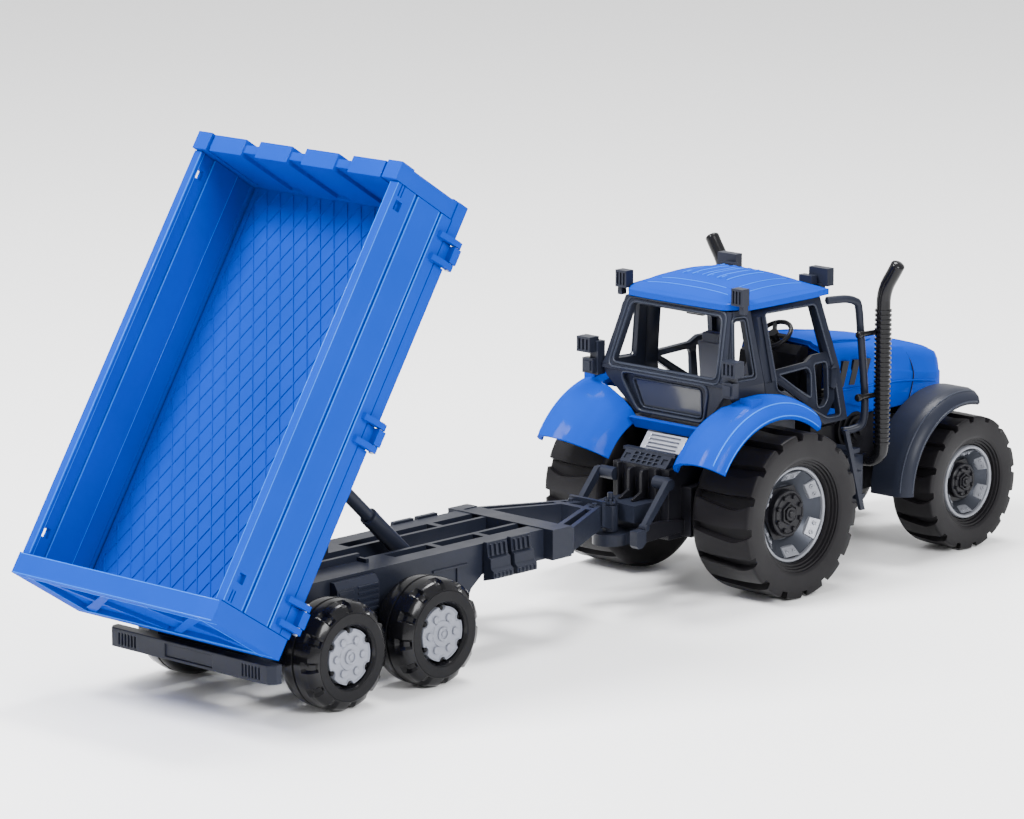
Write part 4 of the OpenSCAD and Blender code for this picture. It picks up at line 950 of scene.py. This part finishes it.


# ---- Painted highlights on the rolled edges of the fenders ----

def fender_edges():
    """Beads in a lighter colour along the shoulder and the free edge of each arched shell, painted highlights.

    Each row holds the arc's middle, its first and last angle, two (radius, y) lines and the looks.
    """
    fenders = (
        ("rear", (-14, 48), (54, 146), ((58.5, 62.4), (52.4, 66.5)), "blue_plastic", highlight_blue),
        ("front", (150, 37), (79, 177), ((51.5, 56.0), (46.2, 60.5)), "slate_plastic", highlight_slate),
    )
    for name, (cx, cz), (turn_from, turn_to), lines, slot, material in fenders:
        beads = Shape()
        for side in (1, -1):
            for r, y in lines:
                arc = []
                for k in range(33):
                    a = math.radians(turn_from + (turn_to - turn_from) * k / 32)
                    arc.append((cx + r * math.cos(a), side * y, cz + r * math.sin(a)))
                beads.tube(arc, 0.45, 10, TRACTOR)
        beads.piece(f"{name}_fender_beads", "tractor", slot, material, sharp=60)


fender_edges()


# ---- Floor, light and camera ----

def floor_material():
    """Plain pale floor with a slow drift in its roughness."""
    mat = bpy.data.materials.new("floor")
    mat.use_nodes = True
    nodes, links = mat.node_tree.nodes, mat.node_tree.links
    bsdf = nodes["Principled BSDF"]
    bsdf.inputs["Base Color"].default_value = (0.93, 0.93, 0.935, 1)
    noise = nodes.new("ShaderNodeTexNoise")
    noise.inputs["Scale"].default_value = 9
    spread = nodes.new("ShaderNodeMapRange")
    spread.inputs["To Min"].default_value = 0.32
    spread.inputs["To Max"].default_value = 0.42
    links.new(noise.outputs["Fac"], spread.inputs["Value"])
    links.new(spread.outputs["Result"], bsdf.inputs["Roughness"])
    return mat


FLOOR_HALF = 6
WORLD_STRENGTH = 1.25

mesh = bpy.data.meshes.new("floor")
corners = [(x * FLOOR_HALF, y * FLOOR_HALF, 0) for x, y in ((-1, -1), (1, -1), (1, 1), (-1, 1))]
mesh.from_pydata(corners, [], [(0, 1, 2, 3)])
floor = bpy.data.objects.new("floor", mesh)
bpy.context.scene.collection.objects.link(floor)
mesh.materials.append(floor_material())

world = bpy.data.worlds.new("studio")
bpy.context.scene.world = world
world.use_nodes = True
background = world.node_tree.nodes["Background"]
background.inputs["Color"].default_value = (1, 1, 1, 1)
background.inputs["Strength"].default_value = WORLD_STRENGTH


def aimed(name, data, place, aim):
    """A lamp or camera at a place, pointing at another."""
    obj = bpy.data.objects.new(name, data)
    obj.location = place
    obj.rotation_euler = (Vector(aim) - Vector(place)).to_track_quat("-Z", "Y").to_euler()
    bpy.context.scene.collection.objects.link(obj)
    return obj


def lamp(name, place, power, size):
    """A square lamp of a power in watts, pointing at the toy."""
    data = bpy.data.lights.new(name, "AREA")
    data.energy = power
    data.size = size
    aimed(name, data, place, (0, 0, 0.1))


lamp("key", (-1.3, 0.5, 1.7), 110, 0.7)
lamp("fill", (-0.4, -1.9, 1.3), 62, 0.8)
lamp("top", (0.6, 0.2, 1.9), 60, 0.7)

cam_data = bpy.data.cameras.new("camera")
cam_data.lens = 180.67
cam_data.sensor_width = 36
cam_data.clip_end = 50
bpy.context.scene.camera = aimed(
    "camera", cam_data, (-1.90665, -1.7966, 0.6485), (-0.03066, 0, 0.11487))
